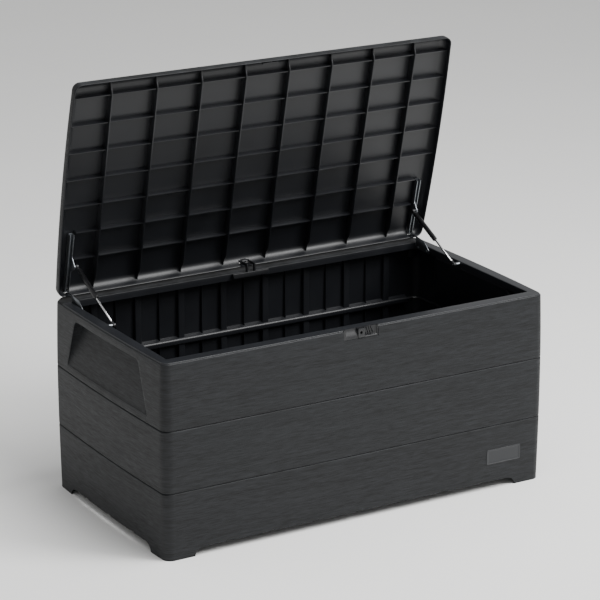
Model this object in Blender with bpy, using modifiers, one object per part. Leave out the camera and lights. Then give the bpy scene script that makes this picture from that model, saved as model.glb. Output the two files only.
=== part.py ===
"""Deck storage box: resin panels, a ribbed lid, steel hinge brackets and two gas struts.

The box stands open. X runs along the length, the front faces -Y, the origin is on the ground
at the middle of the base. Lid pieces hang from an empty on the hinge line, and strut pieces
from empties on their ball studs.
"""
from math import atan2, copysign, cos, hypot, pi, radians, sin

import bmesh
import bpy
from mathutils import Matrix, Vector

# ---------------------------------------------------------------- driving sizes (metres)
WIDTH = 1.300               # overall length, across the bowed ends
DEPTH = 0.700               # overall depth, front to back
BODY_HEIGHT = 0.587         # ground to rim
END_BOW = 0.008             # how far each end swells at mid depth
RIM_DRAW = 0.005            # how far the rim stands in from the widest line
FOOT_DRAW = 0.004           # how far the foot stands in from the widest line
BELLY_HEIGHT = 0.330        # height of the widest line
CORNER_RADIUS = 0.028
WALL = 0.004                # panel wall
TOP_PLANK = 0.199           # rim down to the upper groove
MIDDLE_PLANK = 0.186        # upper groove down to the lower one
GROOVE_DEPTH = 0.003
GROOVE_HALF = 0.0025
FLANGE_LONG = 0.042         # width of the rim's flat top on the front and back
FLANGE_END = 0.030          # the same on the ends, where its inner edge runs straight
LIP = 0.022                 # depth of the lip under the flange's inner edge
RIM_ROUND = 0.004
FIT = 0.0003                # gap between touching pieces
SEAM = 0.0008               # gap between panels
SEAM_RUN = 0.004            # how far a long panel runs past its corner's last curve

FOOT_LENGTH = 0.095         # foot along each side, from the corner
FOOT_FLARE = 0.030          # length of the curve from the foot up to the edge
FOOT_STRAIGHT = 0.012       # height of the upright stretch at the ground
EDGE_HEIGHT = 0.024         # ground to the panels' lower edge between the feet
NOTCH_WIDTH = 0.022
NOTCH_HEIGHT = 0.0025
NOTCH_PITCH = 0.145

HANDLE_DROP = 0.027         # rim down to the handle's upper edge
HANDLE_HEIGHT = 0.150
HANDLE_END = 0.098          # from the front or back face to the handle's lower corner
HANDLE_SLANT = 0.047        # how much further in its upper corner is
HANDLE_REACH = 0.032        # depth at the upper edge
HANDLE_CORNER = 0.022
POCKET_WALL = 0.0035

LEDGE_HEIGHT = 0.028        # underside of the ledge that carries the floor
LEDGE_DEPTH = 0.016
FLOOR_THICKNESS = 0.004
FLOOR_RIB_DEPTH = 0.008
FLOOR_RIB_THICKNESS = 0.004
FLOOR_CLEAR = 0.0015        # floor's edge to the panels
FLOOR_RIBS_ALONG = 4
FLOOR_RIBS_ACROSS = 7

PILASTERS = 8               # ribs inside the front and back panels, and under the lid
END_BAY = 0.1225            # from the rim's end to the first rib
PILASTER_WIDTH = 0.022
PILASTER_DEPTH = 0.007

LID_GAP = 0.003             # rim to the lid's free edge, closed
LID_HEIGHT = 0.035          # free edge to the top
LID_WALL = 0.0035
RIB_THICKNESS = 0.003
RIB_EDGE = 0.0008           # how far a cross rib's root stops inside the lid's wall
GUSSET_RUN = 0.050          # from the skirt to where a long rib reaches its full depth
GUSSET_REAR = 0.045
GUSSET_LOW = 0.004          # free edge up to the front gusset's root
GUSSET_HIGH = 0.016         # free edge up to the rear gusset's root
RIB_CLEAR = 0.004           # free edge to the ribs' lower edge
CROSS_RIBS = 7
CROSS_FIRST = 0.050         # from the lid's front edge to the first cross rib
CROSS_LAST = 0.115          # from the last cross rib to the lid's rear edge
CROSS_OVERRUN = 0.0735      # how far the cross ribs run past the end ribs
CROSS_DEPTH = 0.016
OPEN_ANGLE = radians(77.0)

HINGE_INSET = 0.009         # hinge line, in from the rim's rear face
HINGE_RISE = 0.021          # hinge line, above the rim
PIN_RADIUS = 0.00225
EYE_RADIUS = 0.004
STEEL = 0.0020              # bracket sheet
PLATE_X = 0.0395            # from the corner's widest line to the body bracket's middle
CHANNEL_WIDTH = 0.0135
CHANNEL_LENGTH = 0.190
CHANNEL_DROP = 0.008        # hinge line down to the channel's edges
CHANNEL_RISE = 0.010        # hinge line up to the channel's web
EAR_RADIUS = 0.008
EAR_RUN = 0.024             # lid stud to the ear's front root
EAR_TAIL = 0.022            # lid stud to its rear root
TAIL_RUN = 0.030            # where the channel's edges start to narrow to the eye
WEB_START = 0.018           # hinge line to the web's rear end
ARM_CLEAR = 0.0005          # the eye's underside to the arm's lower edge
ARM_LIFT = 0.001            # the arm's drop at its first bend
ARM_BEND = 0.040            # hinge line forward to the arm's first bend
ARM_SHOULDER = 0.082        # to its shoulder
ARM_SHOULDER_DROP = 0.006
FOOT_START = 0.112          # to the foot's upper corner
FOOT_END = 0.114            # to its lower corner
FOOT_DROP = 0.008           # rim down to the foot's upper edge
FOOT_RISE = 0.002           # lip's lower edge up to the foot's lower edge
BRACKET_CLEAR = 0.003       # bracket to the back panel's lip
PIN_OVERHANG = 0.0015
BRACKET_SCREWS = (0.100, 0.050)     # hinge line forward to each
LID_SCREWS = (0.020, 0.085)         # from the channel's front end to each
SPACER_RADIUS = 0.005
BOSS_RADIUS = 0.0052

STRUT_X = 0.0550            # from the corner's widest line to the strut's middle
LID_STUD_BACK = 0.092       # hinge line forward to the lid stud, closed
LID_STUD_DROP = 0.022
WALL_STUD_BACK = 0.278      # hinge line forward to the wall stud
WALL_STUD_DROP = 0.029      # hinge line down to the wall stud
TUBE_RADIUS = 0.0075
TUBE_WALL = 0.0012
TUBE_START = 0.015          # lid stud to the tube's closed end
TUBE_END = 0.141            # lid stud to the tube's mouth
TUBE_CAP = 0.002            # wall of the tube's closed end
TUBE_GUIDE = 0.004          # wall of the guide that the rod slides in
TUBE_ROUND = 0.0015
ROD_START = 0.0163          # wall stud to the rod's end
ROD_OVERLAP = 0.006         # from the tube's mouth to the piston
ROD_RADIUS = 0.003
PISTON_LENGTH = 0.010
SOCKET_RADIUS = 0.0065
SOCKET_HALF = 0.0045
STUD_RADIUS = 0.0028
NECK_RADIUS = 0.0042
NECK_SINK = 0.002           # how far a neck starts inside its ring
NECK_END = 0.016
STUD_OVERHANG = 0.0015
STUD_COLLAR = 0.0055
SCREW_RADIUS = 0.002
SCREW_HEAD = 0.004
SCREW_HEAD_HEIGHT = 0.0022
HEAD_EDGE = 0.0009          # thickness of the head at its rim
HEAD_FLAT = 0.7             # share of the head's radius that is flat
BRACKET_SCREW_LENGTH = 0.012
LID_SCREW_LENGTH = 0.0045

LATCH_WIDTH = 0.116
LATCH_HEIGHT = 0.031
LATCH_DEPTH = 0.012
LATCH_SET_BACK = 0.001      # its face and top, inside the rim's
SCOOP_RADIUS = 0.019        # finger scoop to the right of the tab
SCOOP_AHEAD = 0.010         # its axis, in front of the rim's face
SCOOP_LOW = 0.004           # its lowest point, above the latch's lower edge
TAB_WIDTH = 0.020
TAB_THICKNESS = 0.005
TAB_PROUD = 0.0005
TAB_LOW = 0.002             # from the latch's lower edge up to the tab
TAB_DROP = 0.0015           # rim down to the tab's top
EYE_SHARE = 0.45            # share of the latch's height from the rim to the tab's eye
TAB_EYE_RADIUS = 0.0042
CATCH_WIDTH = 0.052
CATCH_THICKNESS = 0.0035
CATCH_GAP = 0.0032          # front skirt to the catch
CATCH_LOW = 0.0015          # free edge to the catch
CATCH_HIGH = 0.016
BADGE_WIDTH = 0.121
BADGE_HEIGHT = 0.047
BADGE_X = 0.5025            # middle of the badge, from the box's middle
BADGE_Z = 0.1035
BADGE_PROUD = 0.0012
HINGE_BAR_WIDTH = 0.125
HINGE_BAR_HEIGHT = 0.016
HINGE_BAR_DEPTH = 0.012
HINGE_BAR_DROP = 0.001      # rim down to the bar's top
MIDDLE_PIN_LENGTH = 0.032
KNUCKLE_WIDTH = 0.018
KNUCKLE_REAR = 0.0090       # hinge line up to the knuckle's rear root in the crown
KNUCKLE_FRONT = 0.0122      # and to its front root
MIDDLE_EAR = 0.004          # thickness of the middle hinge's ears
MIDDLE_EAR_IN = 0.003       # from the pin's end to an ear's middle

CLIP_LENGTH = 0.030
CLIP_DEPTH = 0.016
CLIP_HEIGHT = 0.026
CLIP_DROP = 0.034           # lip's lower edge down to the clips
CLIP_IN = 0.020             # from the corner's widest line to a clip
CLIP_CLEAR = 0.0015

PAST = 0.01                 # how far cutting tools run past a face
HAIR = 0.0004               # how far joined tools stop short of a shared face
ROOT = 0.9                  # share of a wall that a rib's root reaches out to
NOTCH_CLEAR = 0.002         # hinge to the notch in the lid's skirt
NOTCH_TOP = 0.0055          # hinge line up to the top of that notch
SMALLEST_ROUND = 0.003      # radius that a corner keeps when its outline is set in
ARC_STEPS = 4
ROUND_STEPS = 16

# ---------------------------------------------------------------- sizes that follow
CORNER_HALF = WIDTH / 2 - END_BOW
SEAM_Y = DEPTH / 2 - RIM_DRAW - FLANGE_LONG - RIM_ROUND - SEAM_RUN
RIM_HALF_X = CORNER_HALF - RIM_DRAW
RIM_HALF_Y = DEPTH / 2 - RIM_DRAW
HINGE_Y = RIM_HALF_Y - HINGE_INSET
HINGE_Z = BODY_HEIGHT + HINGE_RISE
GROOVE_UPPER = BODY_HEIGHT - TOP_PLANK
GROOVE_LOWER = GROOVE_UPPER - MIDDLE_PLANK
FREE_EDGE = LID_GAP - HINGE_RISE            # the lid's free edge, from the hinge line
LID_REAR = HINGE_INSET                      # the lid's rear face, from the hinge line
LID_FRONT = HINGE_INSET - 2 * RIM_HALF_Y
STUD_Y = HINGE_Y - WALL_STUD_BACK
STUD_Z = HINGE_Z - WALL_STUD_DROP
STRUT_MIDDLE = CORNER_HALF - STRUT_X
PLATE_MIDDLE = CORNER_HALF - PLATE_X
RIB_PITCH = 2 * (RIM_HALF_X - END_BAY) / (PILASTERS - 1)
RIB_PLACES = [(i - (PILASTERS - 1) / 2) * RIB_PITCH for i in range(PILASTERS)]
FLOOR_Z = LEDGE_HEIGHT + WALL + FIT
HANDLE_FOOT_HALF = DEPTH / 2 - HANDLE_END
HANDLE_TOP_HALF = HANDLE_FOOT_HALF - HANDLE_SLANT
CROSS_PITCH = (2 * RIM_HALF_Y - CROSS_FIRST - CROSS_LAST) / (CROSS_RIBS - 1)


# ---------------------------------------------------------------- scene and materials
for old in list(bpy.data.objects):
    bpy.data.objects.remove(old, do_unlink=True)
PARTS = bpy.data.collections.new("deck_storage_box")
CUTTERS = bpy.data.collections.new("cutters")
bpy.context.scene.collection.children.link(PARTS)
bpy.context.scene.collection.children.link(CUTTERS)


def material(name, colour, roughness, metallic=0.0):
    """A plain Principled material."""
    made = bpy.data.materials.new(name)
    made.use_nodes = True
    shader = made.node_tree.nodes["Principled BSDF"]
    shader.inputs["Base Color"].default_value = (*colour, 1.0)
    shader.inputs["Roughness"].default_value = roughness
    shader.inputs["Metallic"].default_value = metallic
    made.diffuse_color = (*colour, 1.0)
    return made


PANEL_RESIN = material("grained_resin", (0.038, 0.041, 0.046), 0.55)
LID_RESIN = material("glossy_resin", (0.014, 0.015, 0.018), 0.28)
DARK_RESIN = material("dark_resin", (0.020, 0.021, 0.024), 0.40)
ZINC_STEEL = material("zinc_steel", (0.55, 0.56, 0.57), 0.32, 1.0)
CHROME = material("chromed_rod", (0.75, 0.75, 0.76), 0.10, 1.0)
BLACK_PAINT = material("black_painted_tube", (0.012, 0.012, 0.013), 0.35)


# ---------------------------------------------------------------- tools for shapes
def add_object(name, mesh, finish=None, parent=None):
    """Put a mesh in the scene: a part with its finish, or a cutter without one."""
    thing = bpy.data.objects.new(name, mesh)
    if finish is None:
        CUTTERS.objects.link(thing)
        thing.hide_render = True
        thing.display_type = "WIRE"
    else:
        PARTS.objects.link(thing)
        mesh.materials.append(finish)
    thing.parent = parent
    return thing


def mesh_from(name, bm):
    """Turn a bmesh into a mesh and free it."""
    mesh = bpy.data.meshes.new(name)
    bm.to_mesh(mesh)
    bm.free()
    return mesh


def box(name, low, high, finish=None, parent=None):
    """A block between two opposite corners, with its origin at its middle."""
    low, high = (Vector(pick(a, b) for a, b in zip(low, high)) for pick in (min, max))
    bm = bmesh.new()
    bmesh.ops.create_cube(bm, size=1.0)
    bmesh.ops.scale(bm, vec=high - low, verts=bm.verts)
    thing = add_object(name, mesh_from(name, bm), finish, parent)
    thing.location = (low + high) / 2
    return thing


def turned(name, profile, finish=None, parent=None, steps=ROUND_STEPS):
    """A solid of revolution about local Z, from (radius, height) points, outer side downwards."""
    bm = bmesh.new()
    points = [bm.verts.new((radius, 0.0, height)) for radius, height in profile]
    for first, second in zip(points, points[1:]):
        bm.edges.new((first, second))
    if profile[0][0] > 0.0:
        bm.edges.new((points[-1], points[0]))
    thing = add_object(name, mesh_from(name, bm), finish, parent)
    screw = thing.modifiers.new("turn", "SCREW")
    screw.steps = steps
    screw.render_steps = steps
    screw.use_merge_vertices = True
    screw.merge_threshold = 0.00001
    screw.use_smooth_shade = False
    return thing


def cylinder(name, radius, start, end, finish=None, parent=None, steps=ROUND_STEPS):
    """A round bar from start to end, with its origin at its middle."""
    start = Vector(start)
    end = Vector(end)
    bm = bmesh.new()
    bmesh.ops.create_cone(
        bm, cap_ends=True, segments=steps, radius1=radius, radius2=radius, depth=(end - start).length)
    thing = add_object(name, mesh_from(name, bm), finish, parent)
    thing.location = (start + end) / 2
    thing.rotation_mode = "QUATERNION"
    thing.rotation_quaternion = Vector((0.0, 0.0, 1.0)).rotation_difference(end - start)
    return thing


def flat_plate(name, outlines, thickness, to_world, finish=None, parent=None):
    """Closed flat outlines given thickness, then carried by a matrix into place."""
    curve = bpy.data.curves.new(name, "CURVE")
    curve.dimensions = "2D"
    curve.fill_mode = "BOTH"
    curve.extrude = thickness / 2
    for outline in outlines:
        spline = curve.splines.new("POLY")
        spline.points.add(len(outline) - 1)
        for point, (u, v) in zip(spline.points, outline):
            point.co = (u, v, 0.0, 1.0)
        spline.use_cyclic_u = True
    guide = bpy.data.objects.new(name + "_outline", curve)
    PARTS.objects.link(guide)
    bpy.context.view_layer.update()
    depsgraph = bpy.context.evaluated_depsgraph_get()
    mesh = bpy.data.meshes.new_from_object(guide.evaluated_get(depsgraph))
    bpy.data.objects.remove(guide, do_unlink=True)
    bm = bmesh.new()
    bm.from_mesh(mesh)
    bmesh.ops.remove_doubles(bm, verts=bm.verts, dist=0.000001)
    bmesh.ops.transform(bm, matrix=to_world, verts=bm.verts)
    bmesh.ops.recalc_face_normals(bm, faces=bm.faces)
    bpy.data.meshes.remove(mesh)
    return add_object(name, mesh_from(name, bm), finish, parent)


def across_x(x):
    """Carry an outline drawn as (y, z) onto the plane at x."""
    return Matrix(((0, 0, 1, x), (1, 0, 0, 0), (0, 1, 0, 0), (0, 0, 0, 1)))


def across_y(y):
    """Carry an outline drawn as (x, z) onto the plane at y."""
    return Matrix(((1, 0, 0, 0), (0, 0, -1, y), (0, 1, 0, 0), (0, 0, 0, 1)))


def sheet(name, rows, finish, parent=None, thickness=WALL, closed=False):
    """An open skin through rows of points, thickened inwards."""
    columns = len(rows[0])
    bm = bmesh.new()
    bmesh.ops.create_grid(bm, x_segments=columns - 1, y_segments=len(rows) - 1, size=1.0)
    for vert in bm.verts:
        column = round((vert.co.x + 1) / 2 * (columns - 1))
        row = round((vert.co.y + 1) / 2 * (len(rows) - 1))
        vert.co = rows[row][column]
    if closed:
        bmesh.ops.remove_doubles(bm, verts=bm.verts, dist=0.00001)
        top = rows[-1][0].z
        rim = [edge for edge in bm.edges if edge.is_boundary and edge.verts[0].co.z > top - 0.0001]
        bmesh.ops.holes_fill(bm, edges=rim, sides=0)
        bmesh.ops.recalc_face_normals(bm, faces=bm.faces)
    thing = add_object(name, mesh_from(name, bm), finish, parent)
    wall = thing.modifiers.new("wall", "SOLIDIFY")
    wall.thickness = thickness
    wall.offset = -1.0
    wall.use_even_offset = True
    return thing


def combine(target, tool, operation):
    """Join a hidden tool to a part, or cut the part with it."""
    step = target.modifiers.new(tool.name, "BOOLEAN")
    step.operation = operation
    step.solver = "EXACT"
    step.use_self = True
    step.object = tool


def merged(name, things):
    """One cutter object that holds the meshes of several."""
    bm = bmesh.new()
    bpy.context.view_layer.update()
    for thing in things:
        start = len(bm.verts)
        bm.from_mesh(thing.data)
        bm.verts.ensure_lookup_table()
        bmesh.ops.transform(bm, matrix=thing.matrix_basis, verts=bm.verts[start:])
        bpy.data.objects.remove(thing, do_unlink=True)
    return add_object(name, mesh_from(name, bm))


def arc(centre, radius, first, last, steps=ARC_STEPS):
    """Points on an arc, as (u, v) pairs, from one angle to another."""
    angles = [first + (last - first) * i / steps for i in range(steps + 1)]
    return [(centre[0] + radius * cos(a), centre[1] + radius * sin(a)) for a in angles]


# ---------------------------------------------------------------- the outline in plan
def bow(y, inset):
    """How far an end swells at depth y: a parabola that dies out at the corners."""
    return END_BOW * (1 - (y / (DEPTH / 2 - inset)) ** 2)


def front_path(inset_x, inset_y, swell):
    """Left corner, straight front and right corner, at an inset from the widest line."""
    radius = max(CORNER_RADIUS - inset_y, RIM_ROUND)
    centre_y = -(DEPTH / 2 - inset_y - radius)
    path = [(-(CORNER_HALF - inset_x), -SEAM_Y)]
    for side, start in ((-1, pi), (1, 1.5 * pi)):
        centre = (side * (CORNER_HALF - inset_x - radius), centre_y)
        path += arc(centre, radius, start, start + pi / 2)
    path.append((CORNER_HALF - inset_x, -SEAM_Y))
    return [(x + copysign(swell * bow(y, inset_y), x), y) for x, y in path]


def end_path(inset_x, inset_y, swell, steps=6):
    """The right end between its two seams, at an inset from the widest line."""
    reach = SEAM_Y - SEAM
    places = [reach * (2 * i / steps - 1) for i in range(steps + 1)]
    return [(CORNER_HALF - inset_x + swell * bow(y, inset_y), y) for y in places]


def belly(z):
    """How far the wall stands in from the widest line at height z."""
    if z > BELLY_HEIGHT:
        return RIM_DRAW * ((z - BELLY_HEIGHT) / (BODY_HEIGHT - BELLY_HEIGHT)) ** 2
    return FOOT_DRAW * ((BELLY_HEIGHT - z) / BELLY_HEIGHT) ** 2


def wall_profile():
    """(height, inset along X, inset along Y, share of the bow) from the foot, over the rim, down the lip."""
    profile = [(0.0, belly(0.0)), (FOOT_STRAIGHT, belly(0.0)), (GROOVE_LOWER / 2, belly(GROOVE_LOWER / 2))]
    for groove in (GROOVE_LOWER, GROOVE_UPPER):
        profile += [(groove - GROOVE_HALF, belly(groove)), (groove, belly(groove) + GROOVE_DEPTH),
                    (groove + GROOVE_HALF, belly(groove))]
        if groove == GROOVE_LOWER:
            profile.append((BELLY_HEIGHT, 0.0))
    middle = (GROOVE_UPPER + BODY_HEIGHT) / 2
    profile.append((middle, belly(middle)))
    for turn in (0.0, pi / 4, pi / 2):
        profile.append((BODY_HEIGHT - RIM_ROUND * (1 - sin(turn)), RIM_DRAW + RIM_ROUND * (1 - cos(turn))))
    profile = [(z, inset, inset, 1.0) for z, inset in profile]
    inner_x = RIM_DRAW + FLANGE_END
    inner_y = RIM_DRAW + FLANGE_LONG
    profile += [(BODY_HEIGHT, inner_x - RIM_ROUND / 2, inner_y - RIM_ROUND / 2, 0.0),
                (BODY_HEIGHT - RIM_ROUND / 2, inner_x, inner_y, 0.0),
                (BODY_HEIGHT - LIP, inner_x, inner_y, 0.0)]
    return profile


def panel(name, path, turn):
    """A wall panel swept along a plan path; turn of -1 puts it on the opposite side."""
    rows = [[Vector((turn * x, turn * y, z)) for x, y in path(*plan)] for z, *plan in wall_profile()]
    return sheet(name, rows, PANEL_RESIN)


def lower_edge(half_length):
    """The gap under a panel: feet with flared insides and small notches along the edge."""
    start = half_length - FOOT_LENGTH
    top = start - FOOT_FLARE
    flare = [(start - FOOT_FLARE * (1 - cos(a)), EDGE_HEIGHT * sin(a))
             for a in (i * pi / 2 / ARC_STEPS for i in range(ARC_STEPS + 1))]
    edge = [(start, -EDGE_HEIGHT)] + flare
    count = int(top / NOTCH_PITCH)
    for i in range(count, -count - 1, -1):
        middle = i * NOTCH_PITCH
        for side, height in ((1, 0), (1, NOTCH_HEIGHT), (-1, NOTCH_HEIGHT), (-1, 0)):
            edge.append((middle + side * NOTCH_WIDTH / 2, EDGE_HEIGHT + height))
    return edge + [(-u, v) for u, v in reversed(flare)] + [(-start, -EDGE_HEIGHT)]


# ---------------------------------------------------------------- wall panels
front = panel("front_panel", front_path, 1)
back = panel("back_panel", front_path, -1)
right = panel("right_panel", end_path, 1)
left = panel("left_panel", end_path, -1)

under_long = flat_plate("under_long", [lower_edge(CORNER_HALF)], 2 * DEPTH, across_y(0.0))
under_short = flat_plate("under_short", [lower_edge(DEPTH / 2)], 2 * WIDTH, across_x(0.0))
for wall, gap in ((front, under_long), (back, under_long), (right, under_short), (left, under_short)):
    combine(wall, gap, "DIFFERENCE")

LEDGE_Y = DEPTH / 2 - belly(LEDGE_HEIGHT) - WALL
LEDGE_X = CORNER_HALF - belly(LEDGE_HEIGHT) - WALL
LIP_X = CORNER_HALF - RIM_DRAW - FLANGE_END  # inner face of the lip on the ends
LIP_Y = RIM_HALF_Y - FLANGE_LONG            # inner face of the lip on the front and back
PILASTER_LOW = LEDGE_HEIGHT + 2 * WALL + FLOOR_THICKNESS
PILASTER_TOP = BODY_HEIGHT - WALL / 2


def pilaster_outline(turn):
    """A wall rib from its side, as (y, z): its root follows the wall's curve and its nose is upright."""
    steps = 8
    heights = [PILASTER_LOW + (PILASTER_TOP - PILASTER_LOW) * i / steps for i in range(steps + 1)]
    nose = DEPTH / 2 - RIM_DRAW - WALL - PILASTER_DEPTH
    outline = [(DEPTH / 2 - belly(z) - ROOT * WALL, z) for z in heights]
    outline += [(nose, PILASTER_TOP), (nose, PILASTER_LOW)]
    return [(-turn * y, z) for y, z in outline]


for turn, wall, name in ((1, front, "front"), (-1, back, "back")):
    pieces = []
    for i, x in enumerate(RIB_PLACES):
        rib = flat_plate(f"{name}_pilaster_{i}", [pilaster_outline(turn)], PILASTER_WIDTH, across_x(x))
        pieces.append(rib)
    reach = CORNER_HALF - 2 * CORNER_RADIUS
    pieces.append(box(f"{name}_ledge", (-reach, turn * -(LEDGE_Y + WALL / 2), LEDGE_HEIGHT),
                      (reach, turn * -(LEDGE_Y - LEDGE_DEPTH), LEDGE_HEIGHT + WALL)))
    combine(wall, merged(f"{name}_inner_ribs", pieces), "UNION")

# ---------------------------------------------------------------- handle pockets in the ends
def pocket(name, turn, grow):
    """A scoop in an end: deep under the upper edge, running out flush at the lower one."""
    top = BODY_HEIGHT - HANDLE_DROP
    foot = top - HANDLE_HEIGHT
    steps = 6
    half = HANDLE_FOOT_HALF + grow
    outline = [(half * (2 * i / steps - 1), foot - grow) for i in range(steps + 1)]
    turn_y = HANDLE_TOP_HALF - HANDLE_CORNER
    turn_z = top - HANDLE_CORNER
    outline += arc((turn_y, turn_z), HANDLE_CORNER + grow, 0.0, pi / 2)
    outline += [(turn_y * (1 - 2 * i / steps), top + grow) for i in range(1, steps)]
    outline += arc((-turn_y, turn_z), HANDLE_CORNER + grow, pi / 2, pi)
    face = CORNER_HALF + END_BOW
    deep = face - HANDLE_REACH - grow
    plate = flat_plate(name, [outline], WALL, across_x(0.0))
    for vert in plate.data.vertices:
        if vert.co.x > 0 and grow > 0.0:
            vert.co.x = CORNER_HALF + bow(vert.co.y, 0.0) - belly(vert.co.z) - WALL / 2
        elif vert.co.x > 0:
            vert.co.x = face + WALL
        else:
            share = (top + grow - vert.co.z) / (HANDLE_HEIGHT + 2 * grow)
            vert.co.x = deep + share * (HANDLE_REACH - END_BOW / 2)
        vert.co.x *= turn
        vert.co.y *= turn
    return plate


for turn, wall, name in ((1, right, "right"), (-1, left, "left")):
    combine(wall, pocket(f"{name}_pocket_wall", turn, POCKET_WALL), "UNION")
    combine(wall, pocket(f"{name}_pocket", turn, 0.0), "DIFFERENCE")
    reach = SEAM_Y - LEDGE_DEPTH
    outline = [(LEDGE_X + WALL / 2 + bow(y, 0.0), y) for y in (reach * (i / 3 - 1) for i in range(7))]
    outline += [(LEDGE_X - LEDGE_DEPTH, reach), (LEDGE_X - LEDGE_DEPTH, -reach)]
    ledge = flat_plate(f"{name}_ledge", [[(turn * x, turn * y) for x, y in outline]], WALL,
                       Matrix.Translation((0.0, 0.0, LEDGE_HEIGHT + WALL / 2)))
    combine(wall, ledge, "UNION")

# ---------------------------------------------------------------- floor
FLOOR_X = CORNER_HALF - belly(FLOOR_Z) - WALL - FLOOR_CLEAR
FLOOR_Y = DEPTH / 2 - belly(FLOOR_Z) - WALL - FLOOR_CLEAR
floor = box("floor_panel", (-FLOOR_X, -FLOOR_Y, FLOOR_Z), (FLOOR_X, FLOOR_Y, FLOOR_Z + FLOOR_THICKNESS),
            DARK_RESIN)
corners = floor.modifiers.new("corners", "BEVEL")
corners.width = CORNER_RADIUS
corners.segments = 3
corners.limit_method = "WEIGHT"
weights = floor.data.attributes.new("bevel_weight_edge", "FLOAT", "EDGE")
for edge in floor.data.edges:
    ends = [floor.data.vertices[i].co for i in edge.vertices]
    weights.data[edge.index].value = 1.0 if abs(ends[0].z - ends[1].z) > FLOOR_THICKNESS / 2 else 0.0
reach_x = FLOOR_X - LEDGE_DEPTH - FLOOR_RIB_THICKNESS
reach_y = FLOOR_Y - LEDGE_DEPTH - FLOOR_RIB_THICKNESS
rib_half = FLOOR_RIB_THICKNESS / 2
rib_low = FLOOR_Z - FLOOR_RIB_DEPTH
rib_high = FLOOR_Z + FLOOR_THICKNESS / 2
pieces = []
for i in range(FLOOR_RIBS_ALONG):
    y = (2 * (i + 0.5) / FLOOR_RIBS_ALONG - 1) * reach_y
    pieces.append(box(f"floor_rib_x{i}", (-reach_x, y - rib_half, rib_low), (reach_x, y + rib_half, rib_high)))
for i in range(FLOOR_RIBS_ACROSS):
    x = (2 * (i + 0.5) / FLOOR_RIBS_ACROSS - 1) * reach_x
    pieces.append(box(f"floor_rib_y{i}", (x - rib_half, -reach_y, rib_low + HAIR),
                      (x + rib_half, reach_y, rib_high - HAIR)))
combine(floor, merged("floor_ribs", pieces), "UNION")

# ---------------------------------------------------------------- latch recess and badge on the front
latch_low = BODY_HEIGHT - LATCH_HEIGHT
face_y = -RIM_HALF_Y
combine(front, box("latch_notch", (-LATCH_WIDTH / 2, face_y - PAST, latch_low),
                   (LATCH_WIDTH / 2, face_y + LATCH_DEPTH, BODY_HEIGHT + PAST)), "DIFFERENCE")
latch = box("latch_housing", (-LATCH_WIDTH / 2 + FIT, face_y + LATCH_SET_BACK, latch_low + FIT),
            (LATCH_WIDTH / 2 - FIT, face_y + LATCH_DEPTH - FIT, BODY_HEIGHT - LATCH_SET_BACK), DARK_RESIN)
scoop_x = (TAB_WIDTH + SCOOP_RADIUS * 2) / 2 + SCOOP_LOW / 2
scoop = cylinder("latch_scoop", SCOOP_RADIUS, (scoop_x, face_y - SCOOP_AHEAD, latch_low + SCOOP_LOW),
                 (scoop_x, face_y - SCOOP_AHEAD, BODY_HEIGHT + PAST))
combine(latch, scoop, "DIFFERENCE")
tab_low = Vector((-TAB_WIDTH / 2, face_y - TAB_PROUD, latch_low + TAB_LOW))
tab_high = Vector((TAB_WIDTH / 2, face_y - TAB_PROUD + TAB_THICKNESS, BODY_HEIGHT - TAB_DROP))
tab_slot = box("tab_slot", tab_low - Vector((FIT, PAST, FIT)), tab_high + Vector((FIT, FIT, PAST)))
combine(latch, tab_slot, "DIFFERENCE")
tab = box("padlock_tab", tab_low, tab_high, DARK_RESIN)
eye_z = BODY_HEIGHT - LATCH_HEIGHT * EYE_SHARE
eye = cylinder("tab_eye", TAB_EYE_RADIUS, (0, face_y - PAST, eye_z), (0, face_y + PAST, eye_z))
combine(tab, eye, "DIFFERENCE")

badge_y = -(DEPTH / 2 - belly(BADGE_Z - BADGE_HEIGHT / 2))
badge = box("badge_plate", (BADGE_X - BADGE_WIDTH / 2, badge_y - BADGE_PROUD, BADGE_Z - BADGE_HEIGHT / 2),
            (BADGE_X + BADGE_WIDTH / 2, badge_y - FIT, BADGE_Z + BADGE_HEIGHT / 2), PANEL_RESIN)
lean = atan2(belly(BADGE_Z - BADGE_HEIGHT / 2) - belly(BADGE_Z + BADGE_HEIGHT / 2), BADGE_HEIGHT)
badge.rotation_euler = (lean, 0.0, 0.0)
badge.location.y = -(DEPTH / 2 - belly(BADGE_Z)) - BADGE_PROUD / 2 - 2 * FIT

# ---------------------------------------------------------------- lid
def hung(name, place, turn=0.0):
    """An empty that carries a moving piece; turn is its angle about X."""
    empty = bpy.data.objects.new(name, None)
    PARTS.objects.link(empty)
    empty.location = place
    empty.rotation_euler = (turn, 0.0, 0.0)
    return empty


lid_line = hung("lid_line", (0.0, HINGE_Y, HINGE_Z), -OPEN_ANGLE)
LID_PROFILE = [(0.0015, 0.0), (0.0, 0.002), (0.0005, 0.014), (0.002, 0.024), (0.006, 0.0295),
               (0.016, 0.0330), (0.040, 0.0346), (0.110, LID_HEIGHT)]


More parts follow.
